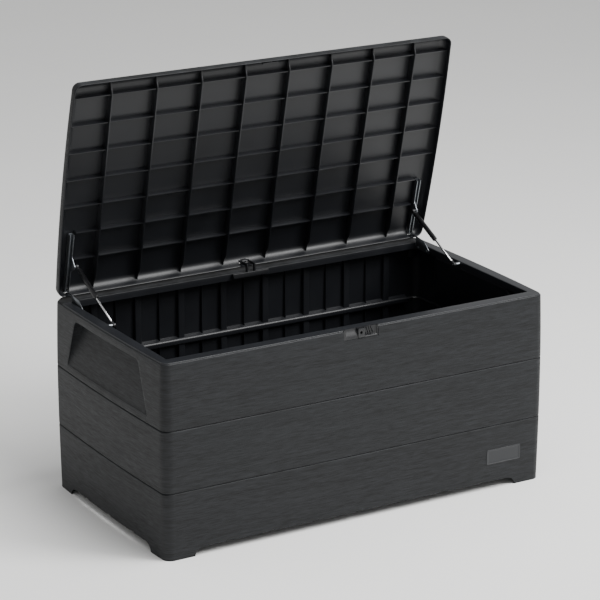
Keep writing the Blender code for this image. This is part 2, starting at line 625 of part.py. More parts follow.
def lid_loop(inset):
    """The whole outline of the lid at an inset from its edge, back to its first point."""
    radius = max(CORNER_RADIUS - RIM_DRAW - inset, SMALLEST_ROUND)
    half_x = RIM_HALF_X - inset
    half_y = RIM_HALF_Y - inset
    loop = []
    for side_x, side_y, start in ((-1, -1, pi), (1, -1, 1.5 * pi), (1, 1, 0.0), (-1, 1, pi / 2)):
        centre = (side_x * (half_x - radius), side_y * (half_y - radius))
        loop += arc(centre, radius, start, start + pi / 2)
        if side_x * side_y * side_y < 0 and side_y > 0 or side_x > 0 > side_y:
            steps = 4
            loop += [(side_x * half_x, centre[1] * (1 - 2 * i / steps)) for i in range(1, steps)]
    loop.append(loop[0])
    swell = [END_BOW * (1 - (y / half_y) ** 2) if abs(x) > half_x - radius - 0.0001 else 0.0 for x, y in loop]
    return [(x + (grow if x > 0 else -grow), y) for (x, y), grow in zip(loop, swell)]


lid_rows = [[Vector((x, y - HINGE_Y, FREE_EDGE + height)) for x, y in lid_loop(inset)]
            for inset, height in LID_PROFILE]
lid = sheet("lid_panel", lid_rows, LID_RESIN, lid_line, LID_WALL, closed=True)


def rib_outline(length):
    """A rib seen from its side, from one skirt to the other: (distance, height) points."""
    half = LID_WALL / 2
    crown = [(inset + half, height - half) for inset, height in LID_PROFILE[3:]]
    upper = crown + [(length - u, v) for u, v in reversed(crown)]
    lower_v = RIB_CLEAR
    lower = [(length - half, GUSSET_HIGH), (length - GUSSET_REAR, lower_v), (GUSSET_RUN, lower_v),
             (half, GUSSET_LOW)]
    return [(u, FREE_EDGE + v) for u, v in upper + lower]


# notches in the rear skirt, where the hinges pass
notches = []
for middle, width in ((-PLATE_MIDDLE, CHANNEL_WIDTH), (0.0, MIDDLE_PIN_LENGTH), (PLATE_MIDDLE, CHANNEL_WIDTH)):
    half = width / 2 + NOTCH_CLEAR
    notches.append(box("hinge_notch", (middle - half, 0.0, FREE_EDGE - PAST),
                       (middle + half, LID_REAR + PAST, NOTCH_TOP)))
notch_tool = merged("hinge_notches", notches)
notch_tool.parent = lid_line
combine(lid, notch_tool, "DIFFERENCE")

tools = []
long_rib = [(LID_FRONT + u, v) for u, v in rib_outline(2 * RIM_HALF_Y)]
for i, x in enumerate(RIB_PLACES):
    tools.append(flat_plate(f"lid_rib_{i}", [long_rib], RIB_THICKNESS, across_x(x)))
cross_length = 2 * (RIB_PLACES[-1] + CROSS_OVERRUN)
cross_top = FREE_EDGE + LID_HEIGHT - LID_WALL / 2
for i in range(CROSS_RIBS):
    y = LID_FRONT + CROSS_FIRST + i * CROSS_PITCH
    tools.append(box(f"cross_rib_{i}", (-cross_length / 2, y - RIB_THICKNESS / 2, cross_top - CROSS_DEPTH),
                     (cross_length / 2, y + RIB_THICKNESS / 2, cross_top - RIB_EDGE)))
knuckle_outline = arc((0.0, 0.0), EYE_RADIUS, -pi, 0.0, 6)
knuckle_outline += [(EYE_RADIUS, KNUCKLE_REAR), (-EYE_RADIUS, KNUCKLE_FRONT)]
pin_ring = arc((0.0, 0.0), PIN_RADIUS + FIT, 0.0, 2 * pi, ROUND_STEPS)[:-1]
tools.append(flat_plate("lid_knuckle", [knuckle_outline, pin_ring], KNUCKLE_WIDTH, across_x(0.0)))
lid_tool = merged("lid_ribs", tools)
lid_tool.parent = lid_line
combine(lid, lid_tool, "UNION")

catch_y = LID_FRONT + LID_WALL + CATCH_GAP
box("lid_catch", (-CATCH_WIDTH / 2, catch_y, FREE_EDGE + CATCH_LOW),
    (CATCH_WIDTH / 2, catch_y + CATCH_THICKNESS, FREE_EDGE + CATCH_HIGH), DARK_RESIN, lid_line)

# ---------------------------------------------------------------- side hinges
def ring_plate(name, x, outline, finish, parent, thickness=STEEL):
    """A flat plate that stands across X, its outline drawn as (y, z)."""
    return flat_plate(name, [outline], thickness, across_x(x), finish, parent)


STUD_LOCAL = (-LID_STUD_BACK, -LID_STUD_DROP)
for side, word in ((1, "right"), (-1, "left")):
    plate_x = side * PLATE_MIDDLE
    # body bracket: from the pin, over the rear flange, down and along the lip
    lip_low = BODY_HEIGHT - LIP + FOOT_RISE
    foot_top = BODY_HEIGHT - FOOT_DROP
    rear_lip = LIP_Y - BRACKET_CLEAR
    arm_low = HINGE_Z - EYE_RADIUS - ARM_CLEAR
    eye_arc = arc((HINGE_Y, HINGE_Z), EYE_RADIUS, -pi / 2, pi / 2, 6)
    plate = eye_arc + [(HINGE_Y - ARM_BEND, HINGE_Z - ARM_LIFT),
                       (HINGE_Y - ARM_SHOULDER, HINGE_Z - ARM_SHOULDER_DROP),
                       (HINGE_Y - FOOT_START, foot_top), (HINGE_Y - FOOT_END, lip_low),
                       (rear_lip, lip_low), (rear_lip, arm_low), (HINGE_Y - EYE_RADIUS / 2, arm_low)]
    bracket = ring_plate(f"{word}_body_bracket", plate_x, plate, ZINC_STEEL, None)
    pin_hole = cylinder(f"{word}_pin_hole", PIN_RADIUS + FIT, (plate_x - PAST, HINGE_Y, HINGE_Z),
                        (plate_x + PAST, HINGE_Y, HINGE_Z))
    combine(bracket, pin_hole, "DIFFERENCE")
    reach = CHANNEL_WIDTH / 2 + PIN_OVERHANG
    cylinder(f"{word}_hinge_pin", PIN_RADIUS, (plate_x - reach, HINGE_Y, HINGE_Z),
             (plate_x + reach, HINGE_Y, HINGE_Z), ZINC_STEEL)
    # screws through the bracket into spacers on the end panel's lip
    screw_z = (lip_low + foot_top) / 2
    for i, run in enumerate(BRACKET_SCREWS):
        y = HINGE_Y - run
        wall = right if side > 0 else left
        spacer = cylinder(f"{word}_spacer_{i}", SPACER_RADIUS, (plate_x + side * (STEEL / 2 + FIT), y, screw_z),
                          (side * (LIP_X + WALL / 2), y, screw_z), steps=12)
        combine(wall, spacer, "UNION")
        bore = cylinder(f"{word}_bracket_bore_{i}", SCREW_RADIUS + FIT,
                        (plate_x - side * 2 * STEEL, y, screw_z),
                        (side * (LIP_X + 1.5 * WALL), y, screw_z), steps=12)
        combine(wall, bore, "DIFFERENCE")
        combine(bracket, bore, "DIFFERENCE")
        head = turned(f"{word}_bracket_screw_{i + 1}",
                      [(0.0, SCREW_HEAD_HEIGHT), (SCREW_HEAD * HEAD_FLAT, SCREW_HEAD_HEIGHT),
                       (SCREW_HEAD, HEAD_EDGE), (SCREW_HEAD, 0.0), (SCREW_RADIUS, 0.0),
                       (SCREW_RADIUS, SCREW_RADIUS / 2 - BRACKET_SCREW_LENGTH), (0.0, -BRACKET_SCREW_LENGTH)],
                      ZINC_STEEL, None, 12)
        head.location = (plate_x - side * (STEEL / 2 + FIT), y, screw_z)
        head.rotation_euler = (0.0, -side * pi / 2, 0.0)
    # lid bracket: a channel that straddles the body bracket, with an ear for the strut
    inner_x = side * (PLATE_MIDDLE - CHANNEL_WIDTH / 2 + STEEL / 2)
    outer_x = side * (PLATE_MIDDLE + CHANNEL_WIDTH / 2 - STEEL / 2)
    web_low = CHANNEL_RISE - STEEL
    spine = arc((0.0, 0.0), EYE_RADIUS, -pi / 2, pi / 2, 6)
    spine += [(STEEL - WEB_START, CHANNEL_RISE - HAIR), (-CHANNEL_LENGTH, CHANNEL_RISE - HAIR),
              (-CHANNEL_LENGTH, -CHANNEL_DROP)]
    ear = arc(STUD_LOCAL, EAR_RADIUS, 1.25 * pi, 1.85 * pi, 5)
    ear = [(-LID_STUD_BACK - EAR_RUN, -CHANNEL_DROP)] + ear + [(-LID_STUD_BACK + EAR_TAIL, -CHANNEL_DROP * 0.8)]
    tail = [(-TAIL_RUN, -CHANNEL_DROP * 0.6)]
    channel = ring_plate(f"{word}_lid_bracket", outer_x, spine + tail, ZINC_STEEL, lid_line)
    inner = ring_plate(f"{word}_channel_inner", inner_x, spine + ear + tail, None, None)
    web_half = side * (CHANNEL_WIDTH - HAIR) / 2
    web = box(f"{word}_channel_web", (plate_x - web_half, -CHANNEL_LENGTH + HAIR, web_low),
              (plate_x + web_half, -WEB_START, CHANNEL_RISE))
    for tool, step in ((web, "UNION"), (inner, "UNION")):
        tool.parent = lid_line
        combine(channel, tool, step)
    hole = cylinder(f"{word}_channel_hole", PIN_RADIUS + FIT, (plate_x - PAST, 0, 0), (plate_x + PAST, 0, 0),
                    None, lid_line)
    combine(channel, hole, "DIFFERENCE")
    for i, run in enumerate(LID_SCREWS):
        y = run - CHANNEL_LENGTH
        top = FREE_EDGE + LID_HEIGHT - LID_WALL / 2
        boss = cylinder(f"{word}_boss_{i}", BOSS_RADIUS, (plate_x, y, CHANNEL_RISE + FIT), (plate_x, y, top),
                        None, lid_line, 12)
        combine(lid, boss, "UNION")
        bore = cylinder(f"{word}_lid_bore_{i}", SCREW_RADIUS + FIT, (plate_x, y, web_low - STEEL),
                        (plate_x, y, top - RIB_EDGE), None, lid_line, 12)
        combine(lid, bore, "DIFFERENCE")
        combine(channel, bore, "DIFFERENCE")
        head = turned(f"{word}_lid_screw_{i + 1}",
                      [(0.0, LID_SCREW_LENGTH), (SCREW_RADIUS, LID_SCREW_LENGTH - SCREW_RADIUS / 4),
                       (SCREW_RADIUS, 0.0), (SCREW_HEAD, 0.0), (SCREW_HEAD, -HEAD_EDGE),
                       (SCREW_HEAD * HEAD_FLAT, -SCREW_HEAD_HEIGHT), (0.0, -SCREW_HEAD_HEIGHT)],
                      ZINC_STEEL, lid_line, 12)
        head.location = (plate_x, y, web_low - FIT)

# ---------------------------------------------------------------- gas struts
turned_y = STUD_LOCAL[0] * cos(OPEN_ANGLE) + STUD_LOCAL[1] * sin(OPEN_ANGLE)
turned_z = -STUD_LOCAL[0] * sin(OPEN_ANGLE) + STUD_LOCAL[1] * cos(OPEN_ANGLE)
reach_y = HINGE_Y + turned_y - STUD_Y
reach_z = HINGE_Z + turned_z - STUD_Z
OPEN_LENGTH = hypot(reach_y, reach_z)
OPEN_SLOPE = atan2(reach_z, reach_y)
for side, word in ((1, "right"), (-1, "left")):
    strut_x = side * STRUT_MIDDLE
    rod_line = hung(f"{word}_rod_line", (strut_x, STUD_Y, STUD_Z), OPEN_SLOPE)
    # wall stud: collar against the lip and a pin through the rod's socket
    near = STRUT_MIDDLE - SOCKET_HALF - STUD_OVERHANG
    shoulder = 2 * (SOCKET_HALF + STUD_OVERHANG) - 2 * HAIR
    stud_end = LIP_X - FIT - near
    stud = turned(f"{word}_wall_stud",
                  [(0.0, stud_end), (STUD_COLLAR, stud_end), (STUD_COLLAR, shoulder), (STUD_RADIUS, shoulder),
                   (STUD_RADIUS, 0.0), (0.0, 0.0)], ZINC_STEEL, None, 12)
    stud.location = (side * near, STUD_Y, STUD_Z)
    stud.rotation_euler = (0.0, side * pi / 2, 0.0)
    # rod: socket ring, neck, rod and piston in one line along the strut
    bore = STUD_RADIUS + FIT
    socket = turned(f"{word}_rod_socket",
                    [(bore, SOCKET_HALF), (SOCKET_RADIUS, SOCKET_HALF), (SOCKET_RADIUS, -SOCKET_HALF),
                     (bore, -SOCKET_HALF)], DARK_RESIN, rod_line)
    socket.rotation_euler = (0.0, pi / 2, 0.0)
    neck = cylinder(f"{word}_rod_neck", NECK_RADIUS, (0, SOCKET_RADIUS - NECK_SINK, 0), (0, NECK_END, 0),
                    None, rod_line, 12)
    combine(socket, neck, "UNION")
    rod_end = OPEN_LENGTH - TUBE_END + ROD_OVERLAP
    rod = turned(f"{word}_strut_rod",
                 [(0.0, rod_end + PISTON_LENGTH), (TUBE_RADIUS - TUBE_WALL - FIT, rod_end + PISTON_LENGTH),
                  (TUBE_RADIUS - TUBE_WALL - FIT, rod_end), (ROD_RADIUS, rod_end), (ROD_RADIUS, ROD_START),
                  (0.0, ROD_START)], CHROME, rod_line)
    rod.rotation_euler = (-pi / 2, 0.0, 0.0)
    tube_line = hung(f"{word}_tube_line", (0.0, OPEN_LENGTH, 0.0))
    tube_line.parent = rod_line
    inner = TUBE_RADIUS - TUBE_WALL
    tube = turned(f"{word}_strut_tube",
                  [(0.0, -TUBE_START), (TUBE_RADIUS - TUBE_ROUND, -TUBE_START),
                   (TUBE_RADIUS, -TUBE_START - TUBE_ROUND), (TUBE_RADIUS, -TUBE_END),
                   (ROD_RADIUS + FIT, -TUBE_END), (ROD_RADIUS + FIT, TUBE_GUIDE - TUBE_END),
                   (inner, TUBE_GUIDE - TUBE_END), (inner, -TUBE_START - TUBE_CAP),
                   (0.0, -TUBE_START - TUBE_CAP)], BLACK_PAINT, tube_line)
    tube.rotation_euler = (-pi / 2, 0.0, 0.0)
    upper = turned(f"{word}_tube_socket",
                   [(bore, SOCKET_HALF), (SOCKET_RADIUS, SOCKET_HALF), (SOCKET_RADIUS, -SOCKET_HALF),
                    (bore, -SOCKET_HALF)], DARK_RESIN, tube_line)
    upper.rotation_euler = (0.0, pi / 2, 0.0)
    neck = cylinder(f"{word}_tube_neck", NECK_RADIUS, (0, NECK_SINK - SOCKET_RADIUS, 0),
                    (0, FIT - TUBE_START, 0), None, tube_line, 12)
    combine(upper, neck, "UNION")
    # lid stud: a collar on the ear, left short of the socket so that the pivot stays open
    ear_x = PLATE_MIDDLE - CHANNEL_WIDTH / 2
    collar_x = STRUT_MIDDLE + SOCKET_HALF + ARM_CLEAR
    gap = ear_x - FIT - collar_x
    collar = turned(f"{word}_lid_stud",
                    [(0.0, gap), (STUD_COLLAR, gap), (STUD_COLLAR, gap / 2), (STUD_RADIUS, 0.0), (0.0, 0.0)],
                    ZINC_STEEL, lid_line, 12)
    collar.location = (side * collar_x, *STUD_LOCAL)
    collar.rotation_euler = (0.0, side * pi / 2, 0.0)

# ---------------------------------------------------------------- middle hinge at the rear
bar_y = LIP_Y
box("middle_hinge_bar", (-HINGE_BAR_WIDTH / 2, bar_y - HINGE_BAR_DEPTH, BODY_HEIGHT - HINGE_BAR_HEIGHT),
    (HINGE_BAR_WIDTH / 2, bar_y - FIT, BODY_HEIGHT - HINGE_BAR_DROP), DARK_RESIN)
cylinder("middle_hinge_pin", PIN_RADIUS, (-MIDDLE_PIN_LENGTH / 2, HINGE_Y, HINGE_Z),
         (MIDDLE_PIN_LENGTH / 2, HINGE_Y, HINGE_Z), ZINC_STEEL)
for side, word in ((1, "right"), (-1, "left")):
    arm_low = HINGE_Z - EYE_RADIUS - ARM_CLEAR
    arm_high = HINGE_Z + EYE_RADIUS
    ear_low = BODY_HEIGHT - HINGE_BAR_DROP + FIT
    ear_front = bar_y - HINGE_BAR_DEPTH + HINGE_BAR_DROP
    ear_rear = bar_y - HINGE_BAR_DROP
    outline = arc((HINGE_Y, HINGE_Z), EYE_RADIUS, -pi / 2, pi / 2, 6)
    outline += [(ear_front, arm_high), (ear_front, ear_low), (ear_rear, ear_low), (ear_rear, arm_low),
                (HINGE_Y - EYE_RADIUS / 2, arm_low)]
    x = side * (MIDDLE_PIN_LENGTH / 2 - MIDDLE_EAR_IN)
    ear_plate = ring_plate(f"middle_hinge_ear_{word}", x, outline, DARK_RESIN, None, MIDDLE_EAR)
    combine(ear_plate, cylinder(f"ear_hole_{word}", PIN_RADIUS + FIT, (x - PAST, HINGE_Y, HINGE_Z),
                                (x + PAST, HINGE_Y, HINGE_Z)), "DIFFERENCE")

# ---------------------------------------------------------------- clips that lock the panels at the corners
clip_low = BODY_HEIGHT - LIP - CLIP_DROP
for side_x, word_x in ((1, "right"), (-1, "left")):
    for side_y, word_y in ((-1, "front"), (1, "rear")):
        inner_x = CORNER_HALF - CLIP_IN
        inner_y = RIM_HALF_Y - WALL - CLIP_CLEAR
        box(f"{word_y}_{word_x}_corner_clip", (side_x * inner_x, side_y * inner_y, clip_low),
            (side_x * (inner_x - CLIP_LENGTH), side_y * (inner_y - CLIP_DEPTH), clip_low + CLIP_HEIGHT),
            DARK_RESIN)
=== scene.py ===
"""Deck storage box, standing open: grained resin walls, a ribbed lid, steel hinges and gas struts.

The pieces are made in the order in which the box is put together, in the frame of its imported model.
X runs along the length, the front faces -Y, and lengths are in metres.
"""
from math import atan2, cos, hypot, pi, radians, sin

import bmesh
import bpy
import numpy as np
from mathutils import Matrix, Vector


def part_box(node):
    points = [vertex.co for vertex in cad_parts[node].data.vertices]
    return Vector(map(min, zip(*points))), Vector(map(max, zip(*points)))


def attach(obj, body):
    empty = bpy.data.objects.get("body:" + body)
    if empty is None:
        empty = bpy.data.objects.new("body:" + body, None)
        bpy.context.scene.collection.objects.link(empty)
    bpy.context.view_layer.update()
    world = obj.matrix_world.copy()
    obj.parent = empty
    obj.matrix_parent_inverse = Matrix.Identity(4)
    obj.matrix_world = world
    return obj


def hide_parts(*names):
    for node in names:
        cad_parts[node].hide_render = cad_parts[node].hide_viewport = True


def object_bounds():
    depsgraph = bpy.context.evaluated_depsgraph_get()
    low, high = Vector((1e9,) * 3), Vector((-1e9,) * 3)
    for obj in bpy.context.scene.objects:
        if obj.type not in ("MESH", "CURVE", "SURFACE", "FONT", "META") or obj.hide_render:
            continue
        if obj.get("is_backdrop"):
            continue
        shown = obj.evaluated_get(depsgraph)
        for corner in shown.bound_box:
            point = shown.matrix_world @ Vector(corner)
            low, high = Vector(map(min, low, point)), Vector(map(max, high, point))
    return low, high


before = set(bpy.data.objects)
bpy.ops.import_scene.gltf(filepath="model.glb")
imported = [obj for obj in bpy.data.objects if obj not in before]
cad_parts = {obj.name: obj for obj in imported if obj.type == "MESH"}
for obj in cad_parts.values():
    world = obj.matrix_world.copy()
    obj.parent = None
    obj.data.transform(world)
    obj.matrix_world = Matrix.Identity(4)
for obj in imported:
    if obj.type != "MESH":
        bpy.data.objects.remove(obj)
cad_low, cad_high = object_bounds()


# ================================================================ the studio
# A seamless pale floor in an evenly lit white room, with one broad lamp at the front right and one
# overhead. The camera stands front left, a little above the rim, with a long lens.
def linear(hex_colour):
    """sRGB hex to linear: each channel's share of 255, raised by the sRGB curve."""
    shares = [int(hex_colour[i:i + 2], 16) / 255 for i in (1, 3, 5)]
    return (*(c / 12.92 if c <= 0.04045 else ((c + 0.055) / 1.055) ** 2.4 for c in shares), 1.0)


def node(material, kind, settings=None, links=None):
    """Add a node: settings by socket or property name, links from the outputs that feed its sockets."""
    made = material.node_tree.nodes.new("ShaderNode" + kind)
    for name, value in (settings or {}).items():
        if isinstance(name, int) or name in made.inputs:
            made.inputs[name].default_value = value
        else:
            setattr(made, name, value)
    for name, output in (links or {}).items():
        material.node_tree.links.new(output, made.inputs[name])
    return made


def new_material(name):
    """An empty material with its Principled shader and its Object coordinates."""
    material = bpy.data.materials.new(name)
    material.use_nodes = True
    shader = material.node_tree.nodes["Principled BSDF"]
    place = node(material, "TexCoord").outputs["Object"]
    return material, shader, place


FLOOR_SIZE = 40.0
FLOOR_COLOUR = "#F4F4F2"
floor_mesh = bpy.data.meshes.new("studio_floor")
edge = FLOOR_SIZE / 2
floor_mesh.from_pydata(
    [(-edge, -edge, cad_low.z), (edge, -edge, cad_low.z), (edge, edge, cad_low.z), (-edge, edge, cad_low.z)],
    [], [(0, 1, 2, 3)])
studio_floor = bpy.data.objects.new("studio_floor", floor_mesh)
bpy.context.scene.collection.objects.link(studio_floor)
# painted board: matt, with a faint cloudiness from the roller
board, shader, place = new_material("painted_board")
cloud = node(board, "TexNoise", {"Scale": 1.5, "Detail": 3.0}, {"Vector": place})
paint = node(board, "Mix", {"data_type": "RGBA", 6: linear(FLOOR_COLOUR), 7: linear("#F8F8F7")},
             {0: cloud.outputs["Fac"]})
board.node_tree.links.new(paint.outputs[2], shader.inputs["Base Color"])
shader.inputs["Roughness"].default_value = 0.9
floor_mesh.materials.append(board)
studio_floor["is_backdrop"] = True

world = bpy.data.worlds.new("white_room")
world.use_nodes = True
world.node_tree.nodes["Background"].inputs["Color"].default_value = linear("#FFFFFF")
world.node_tree.nodes["Background"].inputs["Strength"].default_value = 0.58
bpy.context.scene.world = world

AIM = Vector((-0.007, -0.012, 0.580))       # what the camera looks at
LAMPS = [("front_lamp", (3.6, -3.8, 4.4), 2.8, 340.0), ("top_lamp", (0.8, -1.6, 5.0), 3.0, 260.0)]
for name, spot, size, power in LAMPS:
    lamp = bpy.data.lights.new(name, "AREA")
    lamp.shape = "DISK"
    lamp.size = size
    lamp.energy = power
    stand = bpy.data.objects.new(name, lamp)
    stand.location = spot
    stand.rotation_mode = "QUATERNION"
    stand.rotation_quaternion = (AIM - Vector(spot)).to_track_quat("-Z", "Y")
    bpy.context.scene.collection.objects.link(stand)

VIEW_AZIMUTH = radians(-30.56)
VIEW_ELEVATION = radians(17.76)
VIEW_DISTANCE = 8.0
LENS = 162.3
back = Vector((sin(VIEW_AZIMUTH) * cos(VIEW_ELEVATION), -cos(VIEW_AZIMUTH) * cos(VIEW_ELEVATION),
               sin(VIEW_ELEVATION)))
camera = bpy.data.objects.new("camera", bpy.data.cameras.new("camera"))
camera.data.lens = LENS
camera.data.sensor_width = 36.0
camera.location = AIM + back * VIEW_DISTANCE
camera.rotation_mode = "QUATERNION"
camera.rotation_quaternion = (-back).to_track_quat("-Z", "Y")
bpy.context.scene.collection.objects.link(camera)
bpy.context.scene.camera = camera


# ================================================================ walls
# Four injection-moulded polypropylene panels, coloured in the mass. Each has three planks with a
# cedar grain from the mould, a shouldered rim, and a flange that turns down into a lip. They snap
# together behind the front and rear corners.
def piece_from(name, mesh, materials, body):
    """An object for a mesh, with its materials, riding on a body of the frame."""
    piece = bpy.data.objects.new(name, mesh)
    bpy.context.scene.collection.objects.link(piece)
    for material in materials:
        mesh.materials.append(material)
    if body:
        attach(piece, body)
    return piece


def finish(node_name):
    """Hide the imported part that a piece stands for."""
    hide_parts(node_name)


def grid_mesh(name, points, bands=None, closed=False, caps=(False, False)):
    """Quads between neighbouring points of a grid of rows and columns. closed joins the last column to
    the first, caps fill the first and last row with one face, and bands give each row strip's material."""
    rows, columns = points.shape[:2]
    index = np.arange(rows * columns).reshape(rows, columns)
    if closed:
        index = np.concatenate([index, index[:, :1]], axis=1)
    quads = np.stack([index[:-1, :-1], index[:-1, 1:], index[1:, 1:], index[1:, :-1]], axis=-1)
    slots = np.zeros(rows - 1, int) if bands is None else np.asarray(bands)
    slots = np.repeat(slots, quads.shape[1])
    faces = quads.reshape(-1, 4).tolist()
    first, last = slots[0], slots[-1]
    if caps[0]:
        faces.append(index[0, ::-1][closed:].tolist())
        slots = np.append(slots, first)
    if caps[1]:
        faces.append(index[-1][:index.shape[1] - closed].tolist())
        slots = np.append(slots, last)
    mesh = bpy.data.meshes.new(name)
    mesh.from_pydata(points.reshape(-1, 3).tolist(), [], faces)
    mesh.polygons.foreach_set("material_index", slots.astype(np.int32))
    bm = bmesh.new()
    bm.from_mesh(mesh)
    bmesh.ops.remove_doubles(bm, verts=bm.verts, dist=0.000002)
    bmesh.ops.dissolve_degenerate(bm, edges=bm.edges, dist=0.000002)
    if closed or caps[0]:
        bmesh.ops.recalc_face_normals(bm, faces=bm.faces)
    bm.to_mesh(mesh)
    bm.free()
    return mesh


def shade(piece, angle=32.0):
    """Smooth shading that stays crisp at edges sharper than an angle in degrees."""
    piece.data.polygons.foreach_set("use_smooth", np.ones(len(piece.data.polygons), bool))
    piece.data.set_sharp_from_angle(angle=radians(angle))


def settle(piece):
    """Put what the modifiers make into the mesh itself."""
    bpy.context.view_layer.update()
    made = bpy.data.meshes.new_from_object(piece.evaluated_get(bpy.context.evaluated_depsgraph_get()))
    piece.modifiers.clear()
    piece.data = made


def work(piece, tool_mesh, operation):
    """Cut a piece with a solid, or join the solid to it, and drop the solid."""
    tool = bpy.data.objects.new("tool", tool_mesh)
    bpy.context.scene.collection.objects.link(tool)
    step = piece.modifiers.new("work", "BOOLEAN")
    step.operation = operation
    step.solver = "EXACT"
    step.use_self = True
    step.object = tool
    settle(piece)
    bpy.data.objects.remove(tool, do_unlink=True)


def arc(centre, radius, first, last, steps):
    """Points on a circle's arc: the centre plus the radius times cosine and sine of the angle."""
    angle = np.linspace(first, last, steps + 1)
    return np.stack([centre[0] + radius * np.cos(angle), centre[1] + radius * np.sin(angle)], axis=-1)


panel_low, panel_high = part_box("front_panel")
RIM_TOP = panel_high.z
HALF_DEPTH = -panel_low.y
END_BOW = 0.008
CORNER_HALF = cad_high.x - END_BOW
RIM_DRAW = 0.005
FOOT_DRAW = 0.004
BELLY_HEIGHT = 0.330
CORNER_RADIUS = 0.028
INNER_RADIUS = 0.004
WALL = 0.004
FLANGE_LONG = 0.042
FLANGE_END = 0.030
LIP = 0.022
SEAM_Y = HALF_DEPTH - RIM_DRAW - FLANGE_LONG - 2 * INNER_RADIUS
PLANKS = (0.199, 0.186)                     # heights of the top and middle planks
GROOVE_DEPTH = 0.0032
GROOVE_SPREAD = 0.0016
grooves = (RIM_TOP - PLANKS[0] - PLANKS[1], RIM_TOP - PLANKS[0])


def belly(z):
    """How far the wall stands in from its widest line: it grows with the square of the height from there."""
    above = RIM_DRAW * ((z - BELLY_HEIGHT) / (RIM_TOP - BELLY_HEIGHT)) ** 2
    below = FOOT_DRAW * ((BELLY_HEIGHT - z) / BELLY_HEIGHT) ** 2
    return np.where(z > BELLY_HEIGHT, above, below)


def bow(y, inset):
    """How far an end swells: a parabola, full at mid depth and nothing at the corners."""
    return END_BOW * (1 - (y / (HALF_DEPTH - inset)) ** 2)


# wall section: (height, inset along X, inset along Y, share of the bow) and each strip's finish
SHOULDER = 0.0042                           # shoulder below the flange
SHOULDER_WIDTH = 0.0034
ROUND = 0.0015
notch_rows = [np.linspace(0.0, 0.012, 2)]
for low, high, steps in ((0.012, grooves[0], 8), (grooves[0], grooves[1], 9), (grooves[1], RIM_TOP, 10)):
    reach = 3 * GROOVE_SPREAD
    top = high - (reach if high < RIM_TOP else SHOULDER + 2 * ROUND)
    notch_rows.append(np.linspace(low + (reach if low > 0.02 else 0.004), top, steps))
    if high < RIM_TOP:
        notch_rows.append(high + GROOVE_SPREAD * np.array([-2.0, -1.3, -0.8, -0.4, 0.0, 0.4, 0.8, 1.3, 2.0]))
face_z = np.concatenate(notch_rows)
face_inset = belly(np.maximum(face_z, 0.012)) + sum(
    GROOVE_DEPTH * np.exp(-((face_z - g) / GROOVE_SPREAD) ** 2) for g in grooves)
turn = np.linspace(0, pi / 2, 5)
shoulder_z = RIM_TOP - SHOULDER - ROUND * (1 - np.sin(turn))
shoulder_inset = RIM_DRAW + ROUND * (1 - np.cos(turn))
step_z = np.array([RIM_TOP - SHOULDER, RIM_TOP - SHOULDER + 0.0004])
step_inset = RIM_DRAW + np.array([SHOULDER_WIDTH - 0.0002, SHOULDER_WIDTH + 0.0001])
edge_z = RIM_TOP - ROUND * (1 - np.sin(turn))
edge_inset = RIM_DRAW + SHOULDER_WIDTH + 0.0002 + ROUND * (1 - np.cos(turn))
outer_z = np.concatenate([face_z, shoulder_z, step_z, edge_z])
outer_inset = np.concatenate([face_inset, shoulder_inset, step_inset, edge_inset])
section = np.stack([outer_z, outer_inset, outer_inset, np.ones_like(outer_z)], axis=-1)
flange_start = outer_inset[-1]
share = np.linspace(0.0, 1.0, 7)[1:]
DISH = 0.0012                               # the flange's inner part falls a little
for s in share:
    inset_x = flange_start + s * (RIM_DRAW + FLANGE_END - 0.002 - flange_start)
    inset_y = flange_start + s * (RIM_DRAW + FLANGE_LONG - 0.002 - flange_start)
    section = np.vstack([section, [RIM_TOP - DISH * max(0.0, s - 0.3) ** 2, inset_x, inset_y, 1 - s]])
top_z = section[-1, 0]
for t in turn[1:]:
    section = np.vstack([section, [top_z - 0.002 * (1 - cos(t)), section[-1, 1], section[-1, 2], 0.0]])
    section[-1, 1] = RIM_DRAW + FLANGE_END - 0.002 * (1 - sin(t))
    section[-1, 2] = RIM_DRAW + FLANGE_LONG - 0.002 * (1 - sin(t))
for z in (RIM_TOP - 0.010, RIM_TOP - LIP):
    section = np.vstack([section, [z, RIM_DRAW + FLANGE_END, RIM_DRAW + FLANGE_LONG, 0.0]])
wall_bands = (np.arange(len(section) - 1) >= len(face_z) + 3).astype(int)
wall_bands[-3:] = 2


def long_plan(inset_x, inset_y, swell):
    """Seam, rounded corner, straight front, rounded corner, seam: arcs joined by even steps."""
    radius = max(CORNER_RADIUS - inset_y, INNER_RADIUS)
    side = CORNER_HALF - inset_x - radius
    rear = -(HALF_DEPTH - inset_y - radius)
    run = np.linspace(-SEAM_Y, rear, 5)[:-1]
    left = np.stack([np.full(4, -(side + radius)), run], axis=-1)
    first = arc((-side, rear), radius, pi, 1.5 * pi, 10)
    straight = np.stack([np.linspace(-side, side, 42)[1:-1], np.full(40, rear - radius)], axis=-1)
    last = arc((side, rear), radius, 1.5 * pi, 2 * pi, 10)
    plan = np.concatenate([left, first, straight, last, left[::-1] * (-1, 1)])
    plan[:, 0] += np.sign(plan[:, 0]) * swell * bow(plan[:, 1], inset_y) * (np.abs(plan[:, 0]) > side - 0.001)
    return plan


def end_plan(inset_x, inset_y, swell):
    """The right end from seam to seam: its straight line plus its bow."""
    y = np.linspace(-SEAM_Y, SEAM_Y, 61)
    return np.stack([CORNER_HALF - inset_x + swell * bow(y, inset_y), y], axis=-1)


